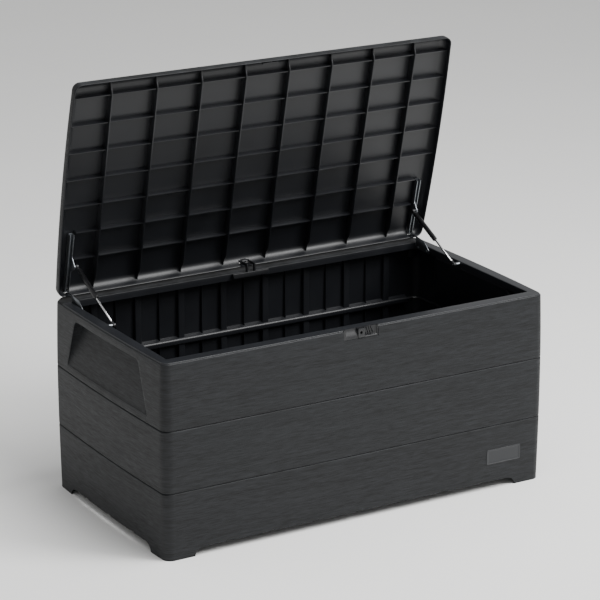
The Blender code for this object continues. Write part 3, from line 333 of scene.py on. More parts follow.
RIDGE = 0.0022                              # rain ridge on the back wall's outer edge
ridge_rows = np.arange(len(face_z), len(outer_z))
ridge = section.copy()
ridge[ridge_rows, 0] = np.concatenate([
    RIM_TOP + RIDGE - 0.0010 * (1 - np.sin(turn)), [RIM_TOP + RIDGE, RIM_TOP + RIDGE],
    RIM_TOP + RIDGE - 0.0010 * (1 - np.cos(turn))])
ridge[ridge_rows, 1] = np.concatenate([
    RIM_DRAW + 0.0010 * (1 - np.cos(turn)), [RIM_DRAW + 0.0018, RIM_DRAW + 0.0026],
    RIM_DRAW + 0.0030 + 0.0010 * np.sin(turn)])
ridge[ridge_rows, 2] = ridge[ridge_rows, 1]


def wall_mesh(name, plan, turned):
    """The wall section carried along a plan line; turned puts it on the opposite side. On the back wall
    the shoulder passes smoothly into the ridge, clear of the corners."""
    sections = []
    for rows in (section, ridge):
        lines = np.stack([plan(ix, iy, swell) for z, ix, iy, swell in rows])
        heights = np.broadcast_to(rows[:, :1], lines.shape[:2])
        sections.append(np.dstack([lines * turned, heights]))
    far = np.clip((np.abs(sections[0][..., :1]) - 0.612) / 0.022, 0, 1)
    share = (name == "back_wall") * (1 - far * far * (3 - 2 * far))
    return grid_mesh(name, sections[0] * (1 - share) + sections[1] * share, wall_bands)


def prism(name, outline, low, high, axis):
    """A closed outline given length along an axis: the outline at both ends, joined by side faces."""
    other = {"x": (1, 2), "y": (0, 2), "z": (0, 1)}[axis]
    points = np.zeros((2, len(outline), 3))
    for end, value in enumerate((low, high)):
        points[end, :, "xyz".index(axis)] = value
        points[end][:, other] = outline
    return grid_mesh(name, points, closed=True, caps=(True, True))


def block(low, high):
    """The outline of a rectangle between two corners."""
    return np.array([(low[0], low[1]), (high[0], low[1]), (high[0], high[1]), (low[0], high[1])])


FOOT_LENGTH = 0.095
FOOT_FLARE = 0.030
EDGE_HEIGHT = 0.024
NOTCH = (0.022, 0.0025, 0.145)              # width, height and pitch of the drain notches


def under_outline(half_length):
    """The gap below a panel: quarter-round feet, and an edge with small notches at an even pitch."""
    start = half_length - FOOT_LENGTH
    angle = np.linspace(0, pi / 2, 13)
    flare = np.stack([start - FOOT_FLARE * (1 - np.cos(angle)), EDGE_HEIGHT * np.sin(angle)], axis=-1)
    count = int((start - FOOT_FLARE) / NOTCH[2])
    middles = NOTCH[2] * np.arange(count, -count - 1, -1)
    corners = np.array([(NOTCH[0] / 2, 0), (NOTCH[0] / 2 - 0.001, NOTCH[1]), (0.001 - NOTCH[0] / 2, NOTCH[1]),
                        (-NOTCH[0] / 2, 0)])
    centres = np.stack([middles, np.full_like(middles, EDGE_HEIGHT)], axis=-1)
    notches = (corners[None] + centres[:, None]).reshape(-1, 2)
    ends = np.array([(start, -EDGE_HEIGHT)])
    return np.concatenate([ends, flare, notches, flare[::-1] * (-1, 1), ends * (-1, 1)])


def dress(material, shader, colours, gloss, relief, ior):
    """Wire a finish: a mix of two hex colours, a roughness between two values, and a bump of a strength
    and a depth, each led by one output from 0 to 1. ior is None for a metal, which keeps its own."""
    blend = node(material, "Mix", {"data_type": "RGBA", 6: linear(colours[0]), 7: linear(colours[1])},
                 {0: colours[2]})
    rub = node(material, "MapRange", {"To Min": gloss[0], "To Max": gloss[1]}, {"Value": gloss[2]})
    bump = node(material, "Bump", {"Strength": relief[0], "Distance": relief[1]}, {"Height": relief[2]})
    material.node_tree.links.new(blend.outputs[2], shader.inputs["Base Color"])
    material.node_tree.links.new(rub.outputs["Result"], shader.inputs["Roughness"])
    material.node_tree.links.new(bump.outputs["Normal"], shader.inputs["Normal"])
    if ior:
        shader.inputs["IOR"].default_value = ior
    else:
        shader.inputs["Metallic"].default_value = 1.0


# Polypropylene with a moulded cedar grain: fine broken streaks along the planks, matt and slightly
# bluish, with lighter high points. The streaks are about 3 mm apart, coarser than the real 1 mm,
# so that they show.
GRAIN_PITCH = 0.0030
GRAIN_LENGTH = 0.040
resin, shader, place = new_material("cedar_grained_polypropylene")
stretch = node(resin, "Mapping", {"Scale": (1 / GRAIN_LENGTH, 1 / GRAIN_LENGTH, 1 / GRAIN_PITCH)},
               {"Vector": place})
streaks = node(resin, "TexNoise", {"Scale": 1.0, "Detail": 5.0, "Roughness": 0.62, "Distortion": 0.25},
               {"Vector": stretch.outputs["Vector"]})
long_stretch = node(resin, "Mapping", {"Scale": (4.0, 4.0, 90.0)}, {"Vector": place})
boards = node(resin, "TexNoise", {"Scale": 1.0, "Detail": 3.0, "Roughness": 0.5},
              {"Vector": long_stretch.outputs["Vector"]})
speck = node(resin, "TexNoise", {"Scale": 900.0, "Detail": 2.0}, {"Vector": place})
grain = node(resin, "Math", {"operation": "MULTIPLY_ADD", 1: 0.30},
             {0: boards.outputs["Fac"], 2: streaks.outputs["Fac"]})
tone = node(resin, "MapRange", {"From Min": 0.45, "From Max": 0.85}, {"Value": grain.outputs["Value"]})
crest = node(resin, "MapRange", {"From Min": 0.4, "From Max": 0.9}, {"Value": grain.outputs["Value"]})
height = node(resin, "Math", {"operation": "MULTIPLY_ADD", 1: 0.15},
              {0: speck.outputs["Fac"], 2: grain.outputs["Value"]})
dress(resin, shader, ("#08090A", "#1E2023", tone.outputs["Result"]), (0.62, 0.46, crest.outputs["Result"]),
      (0.55, 0.0012, height.outputs["Value"]), 1.49)
shader.inputs["Specular IOR Level"].default_value = 0.30

# The same polypropylene from a polished part of the mould: smooth, half gloss, with faint flow marks.
smooth_resin, shader, place = new_material("smooth_polypropylene")
flow = node(smooth_resin, "TexNoise", {"Scale": 14.0, "Detail": 3.0, "Distortion": 0.6}, {"Vector": place})
pores = node(smooth_resin, "TexNoise", {"Scale": 1400.0, "Detail": 2.0}, {"Vector": place})
dress(smooth_resin, shader, ("#15171A", "#1E2024", flow.outputs["Fac"]), (0.34, 0.46, flow.outputs["Fac"]),
      (0.12, 0.0004, pores.outputs["Fac"]), 1.49)

# Black polypropylene inside, glossier and darker than the outside, with shallow sink marks.
inner_resin, shader, place = new_material("black_polypropylene")
sink = node(inner_resin, "TexNoise", {"Scale": 9.0, "Detail": 2.0}, {"Vector": place})
pores = node(inner_resin, "TexNoise", {"Scale": 1100.0, "Detail": 2.0}, {"Vector": place})
waves = node(inner_resin, "Math", {"operation": "MULTIPLY_ADD", 1: 0.04},
             {0: pores.outputs["Fac"], 2: sink.outputs["Fac"]})
dress(inner_resin, shader, ("#0F1013", "#15171B", sink.outputs["Fac"]), (0.34, 0.46, sink.outputs["Fac"]),
      (0.25, 0.0015, waves.outputs["Value"]), 1.49)

walls = {}
for name, plan, turned, half in (("front", long_plan, 1, CORNER_HALF), ("back", long_plan, -1, CORNER_HALF),
                                 ("right", end_plan, 1, HALF_DEPTH), ("left", end_plan, -1, HALF_DEPTH)):
    flange = resin if name == "back" else smooth_resin
    mesh = wall_mesh(f"{name}_wall", plan, turned)
    wall = piece_from(f"{name}_wall", mesh, (resin, flange, inner_resin), "box")
    skin = wall.modifiers.new("wall", "SOLIDIFY")
    skin.thickness = WALL
    skin.offset = -1.0
    skin.use_even_offset = True
    skin.material_offset = 2
    settle(wall)
    across = "y" if plan is long_plan else "x"
    work(wall, prism("under", under_outline(half), -1.0, 1.0, across), "DIFFERENCE")
    finish(f"{name}_panel")
    walls[name] = wall

# ---- the inside ribs of the long walls
RIB_PITCH = 2 * (CORNER_HALF - RIM_DRAW - 0.1225) / 7
RIB_PLACES = RIB_PITCH * (np.arange(8) - 3.5)
RIB_LOW = 0.040
RAIL_Z = grooves[1]
RAIL_PROUD = 0.014
RAIL_ROUND = 0.007
LEDGE_ROOT = 0.0055                         # the floor's ledge, in from the skin
LEDGE_NOSE = 0.0235
LEDGE_LOW = 0.028
LEDGE_TOP = 0.032


def wall_rib(name, middle, width, proud, top, face):
    """An upright rib with a rounded nose: at every height its root follows the wall's inside, and its
    nose stands straight. face is -1 for the front wall and 1 for the back one."""
    z = np.linspace(RIB_LOW, top, 12)
    root = HALF_DEPTH - belly(z) - 0.9 * WALL
    nose = HALF_DEPTH - RIM_DRAW - WALL - proud
    radius = min(0.002, 0.45 * width)
    corner = arc((width / 2 - radius - 0.0006, radius), radius, 0.0, -pi / 2, 4)
    tip = np.concatenate([corner, corner[::-1] * (-1, 1)])
    outline = np.zeros((len(z), len(tip) + 2, 2))
    outline[:, 0] = np.stack([np.full_like(z, width / 2), root], axis=-1)
    outline[:, 1:-1] = tip + (0.0, nose)
    outline[:, -1] = np.stack([np.full_like(z, -width / 2), root], axis=-1)
    points = np.dstack([outline[..., 0] + middle, face * outline[..., 1],
                        np.broadcast_to(z[:, None], outline.shape[:2])])
    return grid_mesh(name, points, closed=True, caps=(True, True))


def joined(name, meshes):
    """One mesh that holds several."""
    bm = bmesh.new()
    for mesh in meshes:
        bm.from_mesh(mesh)
        bpy.data.meshes.remove(mesh)
    made = bpy.data.meshes.new(name)
    bm.to_mesh(made)
    bm.free()
    return made


def tinted(mesh, slot):
    """A tool whose cut or added faces take the piece's material in a slot."""
    mesh.polygons.foreach_set("material_index", np.full(len(mesh.polygons), slot, np.int32))
    return mesh


for name, face in (("front", -1), ("back", 1)):
    ribs = [wall_rib("rib", x, 0.022, 0.007, RIM_TOP - 0.002, face) for x in RIB_PLACES]
    between = (RIB_PLACES[1:] + RIB_PLACES[:-1]) / 2
    ribs += [wall_rib("rib", x, 0.005, 0.004, RIM_TOP - 0.002, face) for x in between]
    rail_root = HALF_DEPTH - 0.9 * WALL - 0.0004
    rail_nose = HALF_DEPTH - RIM_DRAW - WALL - RAIL_PROUD
    centre = rail_nose + RAIL_ROUND
    rail = np.concatenate([[(rail_root, -0.009)], arc((centre, -0.002), RAIL_ROUND, 1.5 * pi, pi, 8),
                           arc((centre, 0.004), RAIL_ROUND, pi, pi / 2, 8), [(rail_root, 0.016)]])
    reach = CORNER_HALF - 0.050
    ribs.append(prism("rail", rail * (face, 1) + (0.0, RAIL_Z), -reach, reach, "x"))
    ledge = block((face * (HALF_DEPTH - LEDGE_ROOT), LEDGE_LOW),
                  (face * (HALF_DEPTH - LEDGE_NOSE), LEDGE_TOP))
    ribs.append(prism("ledge", ledge, -CORNER_HALF + 0.056, CORNER_HALF - 0.056, "x"))
    work(walls[name], tinted(joined("ribs", ribs[:-2]), 2), "UNION")
    work(walls[name], tinted(joined("rails", ribs[-2:]), 2), "UNION")


# ================================================================ handle scoops
# A carrying scoop in each end: deep under the rim, running out at its foot. It is moulded with the
# end panel, so its floor has the same cedar grain and its back bulges into the box.
HANDLE_DROP = 0.027
HANDLE_HEIGHT = 0.150
HANDLE_TOP_HALF = 0.205
HANDLE_FOOT_HALF = 0.252
HANDLE_REACH = 0.032
HANDLE_CORNER = 0.022
POCKET_WALL = 0.0035
handle_top = RIM_TOP - HANDLE_DROP
handle_foot = handle_top - HANDLE_HEIGHT


def scoop_outline(grow):
    """The scoop's mouth as (y, z): a trapezoid with rounded upper corners, moved out along its normals."""
    slope = atan2(HANDLE_FOOT_HALF - HANDLE_TOP_HALF, HANDLE_HEIGHT)
    radius = HANDLE_CORNER + grow
    centre = (HANDLE_TOP_HALF - HANDLE_CORNER, handle_top - HANDLE_CORNER)
    corner = arc(centre, radius, slope, pi / 2, 10)
    side = np.linspace((HANDLE_FOOT_HALF + grow, handle_foot - grow), corner[0], 14)[:-1]
    half = np.concatenate([side, corner])
    top = np.stack([np.linspace(centre[0], -centre[0], 25)[1:-1], np.full(23, handle_top + grow)], axis=-1)
    across = np.linspace(-1, 1, 33)[1:-1] * (HANDLE_FOOT_HALF + grow)
    foot = np.stack([across, np.full(31, handle_foot - grow)], axis=-1)
    return np.concatenate([half, top, half[::-1] * (-1, 1), foot])


def scoop(name, rows, extra):
    """Rings of the mouth's outline, each grown and sunk below the skin by its own depth; past them, rings
    shrunk to the middle follow a floor that falls in proportion to the height above the foot."""
    depths = [(scoop_outline(grow), sink) for grow, sink in rows]
    ring = depths[-1][0]
    middle = np.array([0.0, (handle_top + handle_foot) / 2])
    for s in (0.9, 0.7, 0.45, 0.2, 0.0):
        depths.append((middle + (ring - middle) * s, None))
    points = []
    for ring, sink in depths:
        y, z = ring.T
        full = 0.0006 + (HANDLE_REACH - 0.0006) * np.clip((z - handle_foot) / HANDLE_HEIGHT, 0, 1) + extra
        skin = CORNER_HALF + bow(y, 0.0) - belly(z)
        depth = full if sink is None else np.minimum(full, sink if sink < 1 else full - (sink - 1))
        points.append(np.stack([skin - depth, y, z], axis=-1))
    return grid_mesh(name, np.array(points), closed=True, caps=(True, False))


# ring rows: growth, and depth below the skin; 1 + d stands for d above the scoop's floor
MOUTH = [(0.0016, -0.006), (0.0016, 0.0), (0.0006, 0.0003), (0.0001, 0.0009), (0.0, 0.0018), (0.0, 1.004),
         (-0.0012, 1.0012), (-0.004, 1.0)]
BULGE = [(POCKET_WALL, 0.5 * WALL), (POCKET_WALL, 1.003), (POCKET_WALL - 0.001, 1.001), (0.0, 1.0)]
for name, turned in (("right", 1), ("left", -1)):
    for rows, extra, operation, slot in ((BULGE, POCKET_WALL, "UNION", 2), (MOUTH, 0.0, "DIFFERENCE", 0)):
        tool = scoop("scoop", rows, extra)
        if turned < 0:
            tool.transform(Matrix.Rotation(pi, 4, "Z"))
        work(walls[name], tinted(tool, slot), operation)
    # thin ribs that stiffen the end below its scoop, and the ledge under the floor
    ribs = []
    for y in np.linspace(-0.240, 0.240, 13):
        root = CORNER_HALF + bow(y, 0.0) - 0.9 * WALL - 0.004
        ribs.append(prism("rib", block((y - 0.0015, RIB_LOW), (y + 0.0015, handle_foot - 0.012)),
                          turned * (root - 0.006), turned * root, "x"))
    ribs.append(prism("ledge", block((-SEAM_Y + 0.016, LEDGE_LOW), (SEAM_Y - 0.016, LEDGE_TOP)),
                      turned * (CORNER_HALF - LEDGE_NOSE), turned * (CORNER_HALF - LEDGE_ROOT), "x"))
    work(walls[name], tinted(joined("ribs", ribs[:-2]), 2), "UNION")
    work(walls[name], tinted(joined("rails", ribs[-2:]), 2), "UNION")


# ================================================================ latch recess
# A moulded housing let into the front rim: a finger ramp on the left, a scoop with slanted fins on the
# right, and between them the lug that a padlock passes through.
LATCH_HALF = 0.058
LATCH_HEIGHT = 0.031
LATCH_DEPTH = 0.012
TAB_HALF = 0.010
FIN_PITCH = 0.0075
latch_face = -(HALF_DEPTH - RIM_DRAW)
latch_low = RIM_TOP - LATCH_HEIGHT
work(walls["front"], tinted(prism(
    "notch", block((-LATCH_HALF, latch_face - 0.02), (LATCH_HALF, latch_face + LATCH_DEPTH)),
    latch_low, RIM_TOP + 0.01, "z"), 1), "DIFFERENCE")

# The same polypropylene, dark and satin, with a fine spark-eroded texture.
dark_resin, shader, place = new_material("spark_textured_polypropylene")
spark = node(dark_resin, "TexNoise", {"Scale": 1300.0, "Detail": 3.0}, {"Vector": place})
drift = node(dark_resin, "TexNoise", {"Scale": 60.0, "Detail": 2.0}, {"Vector": place})
dress(dark_resin, shader, ("#0E0F11", "#17181B", drift.outputs["Fac"]), (0.36, 0.50, spark.outputs["Fac"]),
      (0.3, 0.0003, spark.outputs["Fac"]), 1.49)


def ease(value, low, high):
    """A smooth step: 3t squared minus 2t cubed, of the value's share t between two limits."""
    t = np.clip((value - low) / (high - low), 0, 1)
    return t * t * (3 - 2 * t)


x, z = np.meshgrid(np.linspace(-LATCH_HALF + 0.0003, LATCH_HALF - 0.0003, 161),
                   np.linspace(latch_low + 0.0003, RIM_TOP - 0.0006, 45))
up = (z - latch_low) / LATCH_HEIGHT
slant = -0.0535 + 0.006 * (1 - up)
ramp = 0.0092 * ease(up, 0.08, 1.05) * ease(x, slant, slant + 0.0015)
ramp *= ease(-x, TAB_HALF + 0.001, TAB_HALF + 0.002)
bowl = 0.0085 * np.sqrt(np.clip(1 - ((x - 0.034) / 0.0205) ** 2, 0, 1)) * ease(up, 0.10, 0.22)
fins = 0.0026 * np.clip(np.sin(2 * pi * (x + 0.35 * (z - latch_low)) / FIN_PITCH) * 1.6, -1, 1)
fins = np.maximum(fins, 0) * ease(x, 0.016, 0.020) * ease(-x, -0.046, -0.040)
bowl = np.where(bowl > 0.0045, bowl - fins, bowl)
seat = 0.0052 * ease(TAB_HALF + 0.0006 - np.abs(x), -0.0002, 0.0002) * ease(up, 0.045, 0.06)
sunk = 0.0009 + np.where(x < -TAB_HALF - 0.0006, ramp, np.where(x > TAB_HALF + 0.0006, bowl, 0)) + seat
front_y = latch_face + sunk
rear_y = np.full_like(x[:, :1], latch_face + LATCH_DEPTH - 0.0003)
ring_x = np.concatenate([x, x[:, -1:], x[:, :1]], axis=1)
ring_y = np.concatenate([front_y, rear_y, rear_y], axis=1)
ring_z = np.concatenate([z, z[:, -1:], z[:, :1]], axis=1)
latch = piece_from("latch_recess", grid_mesh("latch_recess", np.dstack([ring_x, ring_y, ring_z]), closed=True,
                                             caps=(True, True)), (dark_resin,), "box")
shade(latch)
finish("latch_housing")


def rounded(piece, width, segments=3, angle=35.0):
    """Break a piece's sharp edges with small rounds, as a mould or a tumbler leaves them."""
    step = piece.modifiers.new("rounds", "BEVEL")
    step.width = width
    step.segments = segments
    step.limit_method = "ANGLE"
    step.angle_limit = radians(angle)
    step.use_clamp_overlap = True
    settle(piece)
    shade(piece)


def plate_outline(half_u, half_v, radius, steps=6):
    """A rectangle about the origin with rounded corners."""
    corners = [arc((su * (half_u - radius), sv * (half_v - radius)), radius, start, start + pi / 2, steps)
               for su, sv, start in ((1, 1, 0.0), (-1, 1, pi / 2), (-1, -1, pi), (1, -1, 1.5 * pi))]
    return np.concatenate(corners)


TAB_EYE = 0.0042
tab_low, tab_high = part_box("padlock_tab")
tab_middle = np.array([0.0, (tab_low.z + tab_high.z) / 2])
outline = plate_outline(TAB_HALF, (tab_high.z - tab_low.z) / 2, 0.0025) + tab_middle
lug = prism("padlock_lug", outline, tab_low.y, tab_high.y, "y")
tab = piece_from("padlock_lug", lug, (dark_resin,), "box")
eye = arc((0.0, RIM_TOP - 0.45 * LATCH_HEIGHT), TAB_EYE, 0.0, 2 * pi, 32)[:-1]
work(tab, prism("eye", eye, tab_low.y - 0.01, tab_high.y + 0.01, "y"), "DIFFERENCE")
rounded(tab, 0.0005, 2)
finish("padlock_tab")


# ================================================================ badge
# A blank plate of the walls' own resin at the front's lower right, glued on, following the wall's
# curve. Its rim stands a little above its field.
BADGE_HALF = (0.0603, 0.0235)
BADGE_MIDDLE = np.array([0.5025, 0.1035])
BADGE_ROWS = [(0.0, 0.0002), (0.0, 0.0007), (0.0003, 0.0010), (0.0009, 0.0012), (0.0024, 0.0012),
              (0.0030, 0.0008), (0.0034, 0.0006), (0.010, 0.0006), (0.018, 0.0006), (0.0234, 0.0006)]
rings = []
for inset, proud in BADGE_ROWS:
    radius = max(0.004 - inset, 0.00005)
    ring = plate_outline(BADGE_HALF[0] - inset, BADGE_HALF[1] - inset, radius, 5) + BADGE_MIDDLE
    rings.append(np.stack([ring[:, 0], -(HALF_DEPTH - belly(ring[:, 1])) - proud, ring[:, 1]], axis=-1))
badge = piece_from("badge", grid_mesh("badge", np.array(rings), closed=True, caps=(True, True)),
                   (smooth_resin,), "box")
shade(badge)
finish("badge_plate")


# ================================================================ floor
# A loose moulded floor on the panels' ledges, stiffened by a grid of ribs below, with a raised
# lattice on top that keeps things off any water.
FLOOR_RIB = 0.004
floor_low, floor_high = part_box("floor_panel")
floor_top = floor_high.z
outline = plate_outline(floor_high.x - 0.0003, floor_high.y - 0.0003, CORNER_RADIUS, 10)
floor = piece_from("floor", prism("floor", outline, floor_top - WALL, floor_top, "z"), (inner_resin,), "box")
reach_x = floor_high.x - 0.022
reach_y = floor_high.y - 0.022
ribs = []
for y in (np.arange(4) * 2 + 1 - 4) / 4 * reach_y:
    side = block((y - FLOOR_RIB / 2, floor_low.z), (y + FLOOR_RIB / 2, floor_top - 0.002))
    ribs.append(prism("rib", side, -reach_x, reach_x, "x"))
for x in (np.arange(7) * 2 + 1 - 7) / 7 * reach_x:
    side = block((x - FLOOR_RIB / 2, floor_low.z + 0.0004), (x + FLOOR_RIB / 2, floor_top - 0.002))
    ribs.append(prism("rib", side, -reach_y, reach_y, "y"))
work(floor, joined("ribs", ribs), "UNION")
rounded(floor, 0.0008, 2, 60.0)
finish("floor_panel")


# ================================================================ corner clips
# Small blocks that lock each pair of panels together inside the corner, below the rim.
for end in ("front", "rear"):
    for side in ("left", "right"):
        name = f"{end}_{side}_corner_clip"
        low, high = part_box(name)
        middle = np.array([(low.x + high.x) / 2, (low.z + high.z) / 2])
        outline = plate_outline((high.x - low.x) / 2, (high.z - low.z) / 2, 0.003) + middle
        clip = prism("clip", outline, low.y, high.y, "y")
        clip = piece_from(f"{end}_{side}_clip", clip, (dark_resin,), "box")
        rounded(clip, 0.0010)
        finish(name)


# ================================================================ lid
# One moulding: a low crown with the walls' cedar grain outside, a polished black underside, a skirt
# all round, long ribs from skirt to skirt and shallower ribs across them.
OPEN_ANGLE = radians(77.0)
LID_REAR = 0.009
LID_HEIGHT = 0.035
LID_WALL = 0.0035
LID_FREE = -0.018                           # the free edge's height, from the hinge line
LID_FILLET = 0.023
LID_EDGE_RADIUS = CORNER_RADIUS - RIM_DRAW
LID_GROOVES = (0.172, 0.345, 0.518)         # joints between the lid's planks, from its rear edge
pin_low, pin_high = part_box("middle_hinge_pin")
HINGE = np.array([0.0, (pin_low.y + pin_high.y) / 2, (pin_low.z + pin_high.z) / 2])
LID_FRONT = LID_REAR - 2 * (HALF_DEPTH - RIM_DRAW)


def opened(mesh):
    """Turn a mesh drawn about the hinge line, lid shut, by the open angle and carry it to the hinge."""
    points = np.empty(3 * len(mesh.vertices))
    mesh.vertices.foreach_get("co", points)
    x, y, z = points.reshape(-1, 3).T
    y, z = y * cos(OPEN_ANGLE) + z * sin(OPEN_ANGLE), z * cos(OPEN_ANGLE) - y * sin(OPEN_ANGLE)
    mesh.vertices.foreach_set("co", (np.stack([x, y, z], axis=-1) + HINGE).ravel())
    mesh.update()
    return mesh


def lid_ring(inset):
    """The lid's outline at an inset: a rectangle with rounded corners whose ends swell in a parabola."""
    radius = max(LID_EDGE_RADIUS - inset, 0.003)
    half_x = CORNER_HALF - RIM_DRAW - inset
    half_y = HALF_DEPTH - RIM_DRAW - inset
    loop = []
    for sx, sy, start in ((1, -1, 1.5 * pi), (1, 1, 0.0), (-1, 1, pi / 2), (-1, -1, pi)):
        loop.append(arc((sx * (half_x - radius), sy * (half_y - radius)), radius, start, start + pi / 2, 8))
        after = {(1, -1): (half_x, half_y - radius), (1, 1): (half_x - radius, half_y),
                 (-1, 1): (-half_x, radius - half_y), (-1, -1): (radius - half_x, -half_y)}[(sx, sy)]
        steps = 13 if sx * sy < 0 else 41
        loop.append(np.linspace(loop[-1][-1], after, steps)[1:-1])
    loop = np.concatenate(loop)
    at_end = np.abs(loop[:, 0]) > half_x - radius - 0.0001
    loop[:, 0] += np.sign(loop[:, 0]) * at_end * END_BOW * (1 - (loop[:, 1] / half_y) ** 2)
    return loop


outer = [(0.200, LID_HEIGHT), (0.110, 0.0350), (0.065, 0.0348), (0.040, 0.0346), (0.026, 0.0339),
         (0.016, 0.0329), (0.010, 0.0315), (0.006, 0.0295), (0.0035, 0.0268), (0.002, 0.0235),
         (0.001, 0.0190), (0.0005, 0.0135), (0.0002, 0.0070), (0.0, 0.0022), (0.0003, 0.0010),
         (0.0010, 0.0002), (0.0018, 0.0)]
inner_skirt = [(0.0026, 0.0004), (0.0034, 0.0014), (0.0040, 0.0060)]
fillet = arc((0.0045 + LID_FILLET, LID_HEIGHT - LID_WALL - 0.0004 - LID_FILLET), LID_FILLET, pi, pi / 2, 10)
inner = [(0.060, LID_HEIGHT - LID_WALL - 0.0002), (0.110, LID_HEIGHT - LID_WALL),
         (0.200, LID_HEIGHT - LID_WALL)]
lid_section = np.array(outer + inner_skirt + fillet.tolist() + inner)
rings = []
for inset, height in lid_section:
    ring = lid_ring(inset)
    rings.append(np.column_stack([ring[:, 0], ring[:, 1] - HALF_DEPTH + RIM_DRAW + LID_REAR,
                                  np.full(len(ring), LID_FREE + height)]))
bands = (np.arange(len(lid_section) - 1) >= len(outer) - 2).astype(int)
lid_mesh = grid_mesh("lid", np.array(rings), bands, closed=True, caps=(True, True))
lid = piece_from("lid", lid_mesh, (resin, inner_resin), "lid")
cuts = []
for place_y in LID_GROOVES:
    half = np.array([(-0.0024, 0.002), (-0.0016, -0.0001)])
    vee = np.concatenate([half, [(0.0, -0.0014)], half[::-1] * (-1, 1)])
    vee = vee + (LID_REAR - place_y, LID_FREE + LID_HEIGHT)
    cuts.append(tinted(prism("groove", vee, -0.700, 0.700, "x"), 0))
# pockets that clear the hinges, cut from the inside so that the skirt stays whole outside
HINGE_POCKETS = [(-0.6025, 0.0090), (0.0, 0.0182), (0.6025, 0.0090)]
for middle, half in HINGE_POCKETS:
    room = block((-0.030, LID_FREE - 0.01), (LID_REAR - 0.0016, 0.0060))
    cuts.append(tinted(prism("pocket", room, middle - half, middle + half, "x"), 1))
work(lid, joined("cuts", cuts), "DIFFERENCE")
opened(lid.data)
shade(lid)
finish("lid_panel")

# ribs under the lid
RIB = 0.0030
CROSS_FIRST = 0.050
CROSS_PITCH = 0.0875
CROSS_PLACES = LID_FRONT + CROSS_FIRST + CROSS_PITCH * np.arange(7)
CROSS_DEPTH = 0.020
CROSS_HALF = 0.588                          # reach of the ribs beside the hinges' channels
CHANNELS_FROM = -0.200                      # where those ribs begin
crown = np.array([(inset + 0.0018, height - 0.0018) for inset, height in outer[3:10]])[::-1]
length = LID_REAR - LID_FRONT
low_line = LID_HEIGHT - LID_WALL - 0.0265
half_profile = np.concatenate([[(0.0030, 0.0200)], [(0.022, 0.0175)], [(0.030, 0.0140)], [(0.038, 0.0085)],
                               [(0.048, low_line)]])
low_side = np.concatenate([half_profile, (half_profile * (-1, 1) + (length, 0))[::-1]])
long_rib = np.concatenate([crown, (crown * (-1, 1) + (length, 0))[::-1], low_side[::-1]])
long_rib = long_rib + (LID_FRONT, LID_FREE)
ribs = [prism("rib", long_rib, x - RIB / 2, x + RIB / 2, "x") for x in RIB_PLACES]
cross_top = LID_FREE + LID_HEIGHT - LID_WALL / 2
lid_ribs = piece_from("lid_ribs", joined("ribs", ribs), (inner_resin,), "lid")
low_end = np.array([(0.0023, cross_top - CROSS_DEPTH - LID_FREE)])
short_end = np.array([(CROSS_HALF, cross_top - CROSS_DEPTH), (CROSS_HALF, cross_top - 0.0006)])
ribs = []
for y in CROSS_PLACES:
    end = CORNER_HALF - RIM_DRAW + END_BOW * (1 - ((y - LID_REAR) / (HALF_DEPTH - RIM_DRAW) + 1) ** 2)
    side = (end, LID_FREE) + np.concatenate([low_end, crown]) * (-1, 1) if y < CHANNELS_FROM else short_end
    outline = np.concatenate([side, (side * (-1, 1))[::-1]])
    ribs.append(prism("rib", outline, y - RIB / 2, y + RIB / 2, "y"))
for side in (-1, 1):
    for y in (-0.170, -0.105):
        boss = arc((side * 0.6025, y), 0.0052, 0.0, 2 * pi, 24)[:-1]
        ribs.append(prism("boss", boss, 0.0105, cross_top, "z"))
work(lid_ribs, joined("ribs", ribs), "UNION")
rounded(lid_ribs, 0.0005, 2, 60.0)
opened(lid_ribs.data)
finish("lid_panel")


# ================================================================ lid catch
# A hooked bar inside the lid's front skirt that drops behind the lug, with a finger hollow.
catch_y = LID_FRONT + LID_WALL + 0.0032
outline = plate_outline(0.026, 0.00725, 0.002) + (0.0, LID_FREE + 0.00875)
catch = piece_from("catch", prism("catch", outline, catch_y, catch_y + 0.0035, "y"), (dark_resin,), "lid")
hollow = plate_outline(0.011, 0.0035, 0.0015) + (0.0, LID_FREE + 0.0085)
work(catch, prism("hollow", hollow, catch_y - 0.01, catch_y + 0.01, "y"), "DIFFERENCE")
rounded(catch, 0.0005, 2)
opened(catch.data)
finish("lid_catch")


# ================================================================ side hinges
# Pressed steel, zinc plated: a flat bracket screwed to each end's lip, and a channel screwed under the
# lid that straddles it. Both turn on a plain pin.
# Zinc plating: grey and bluish, dulled in small crystals, finely scratched along the sheet.
zinc, shader, place = new_material("zinc_plated_steel")
crystals = node(zinc, "TexVoronoi", {"Scale": 320.0}, {"Vector": place})
brush = node(zinc, "Mapping", {"Scale": (1500.0, 120.0, 120.0)}, {"Vector": place})
scratch = node(zinc, "TexNoise", {"Scale": 1.0, "Detail": 3.0}, {"Vector": brush.outputs["Vector"]})
dress(zinc, shader, ("#6F7377", "#94989C", crystals.outputs["Distance"]),
      (0.30, 0.48, scratch.outputs["Fac"]), (0.15, 0.0002, scratch.outputs["Fac"]), None)

PLATE_MIDDLE = 0.6025
STEEL = 0.0020
EYE = 0.0040
PIN = 0.00225
CHANNEL_HALF = 0.00675
CHANNEL_LENGTH = 0.190
CHANNEL_DROP = 0.008
CHANNEL_RISE = 0.010
STUD_LOCAL = (-0.092, -0.022)
lip_low = RIM_TOP - LIP + 0.002
LIP_Y = HALF_DEPTH - RIM_DRAW - FLANGE_LONG
LIP_X = CORNER_HALF - RIM_DRAW - FLANGE_END
hy, hz = HINGE[1], HINGE[2]


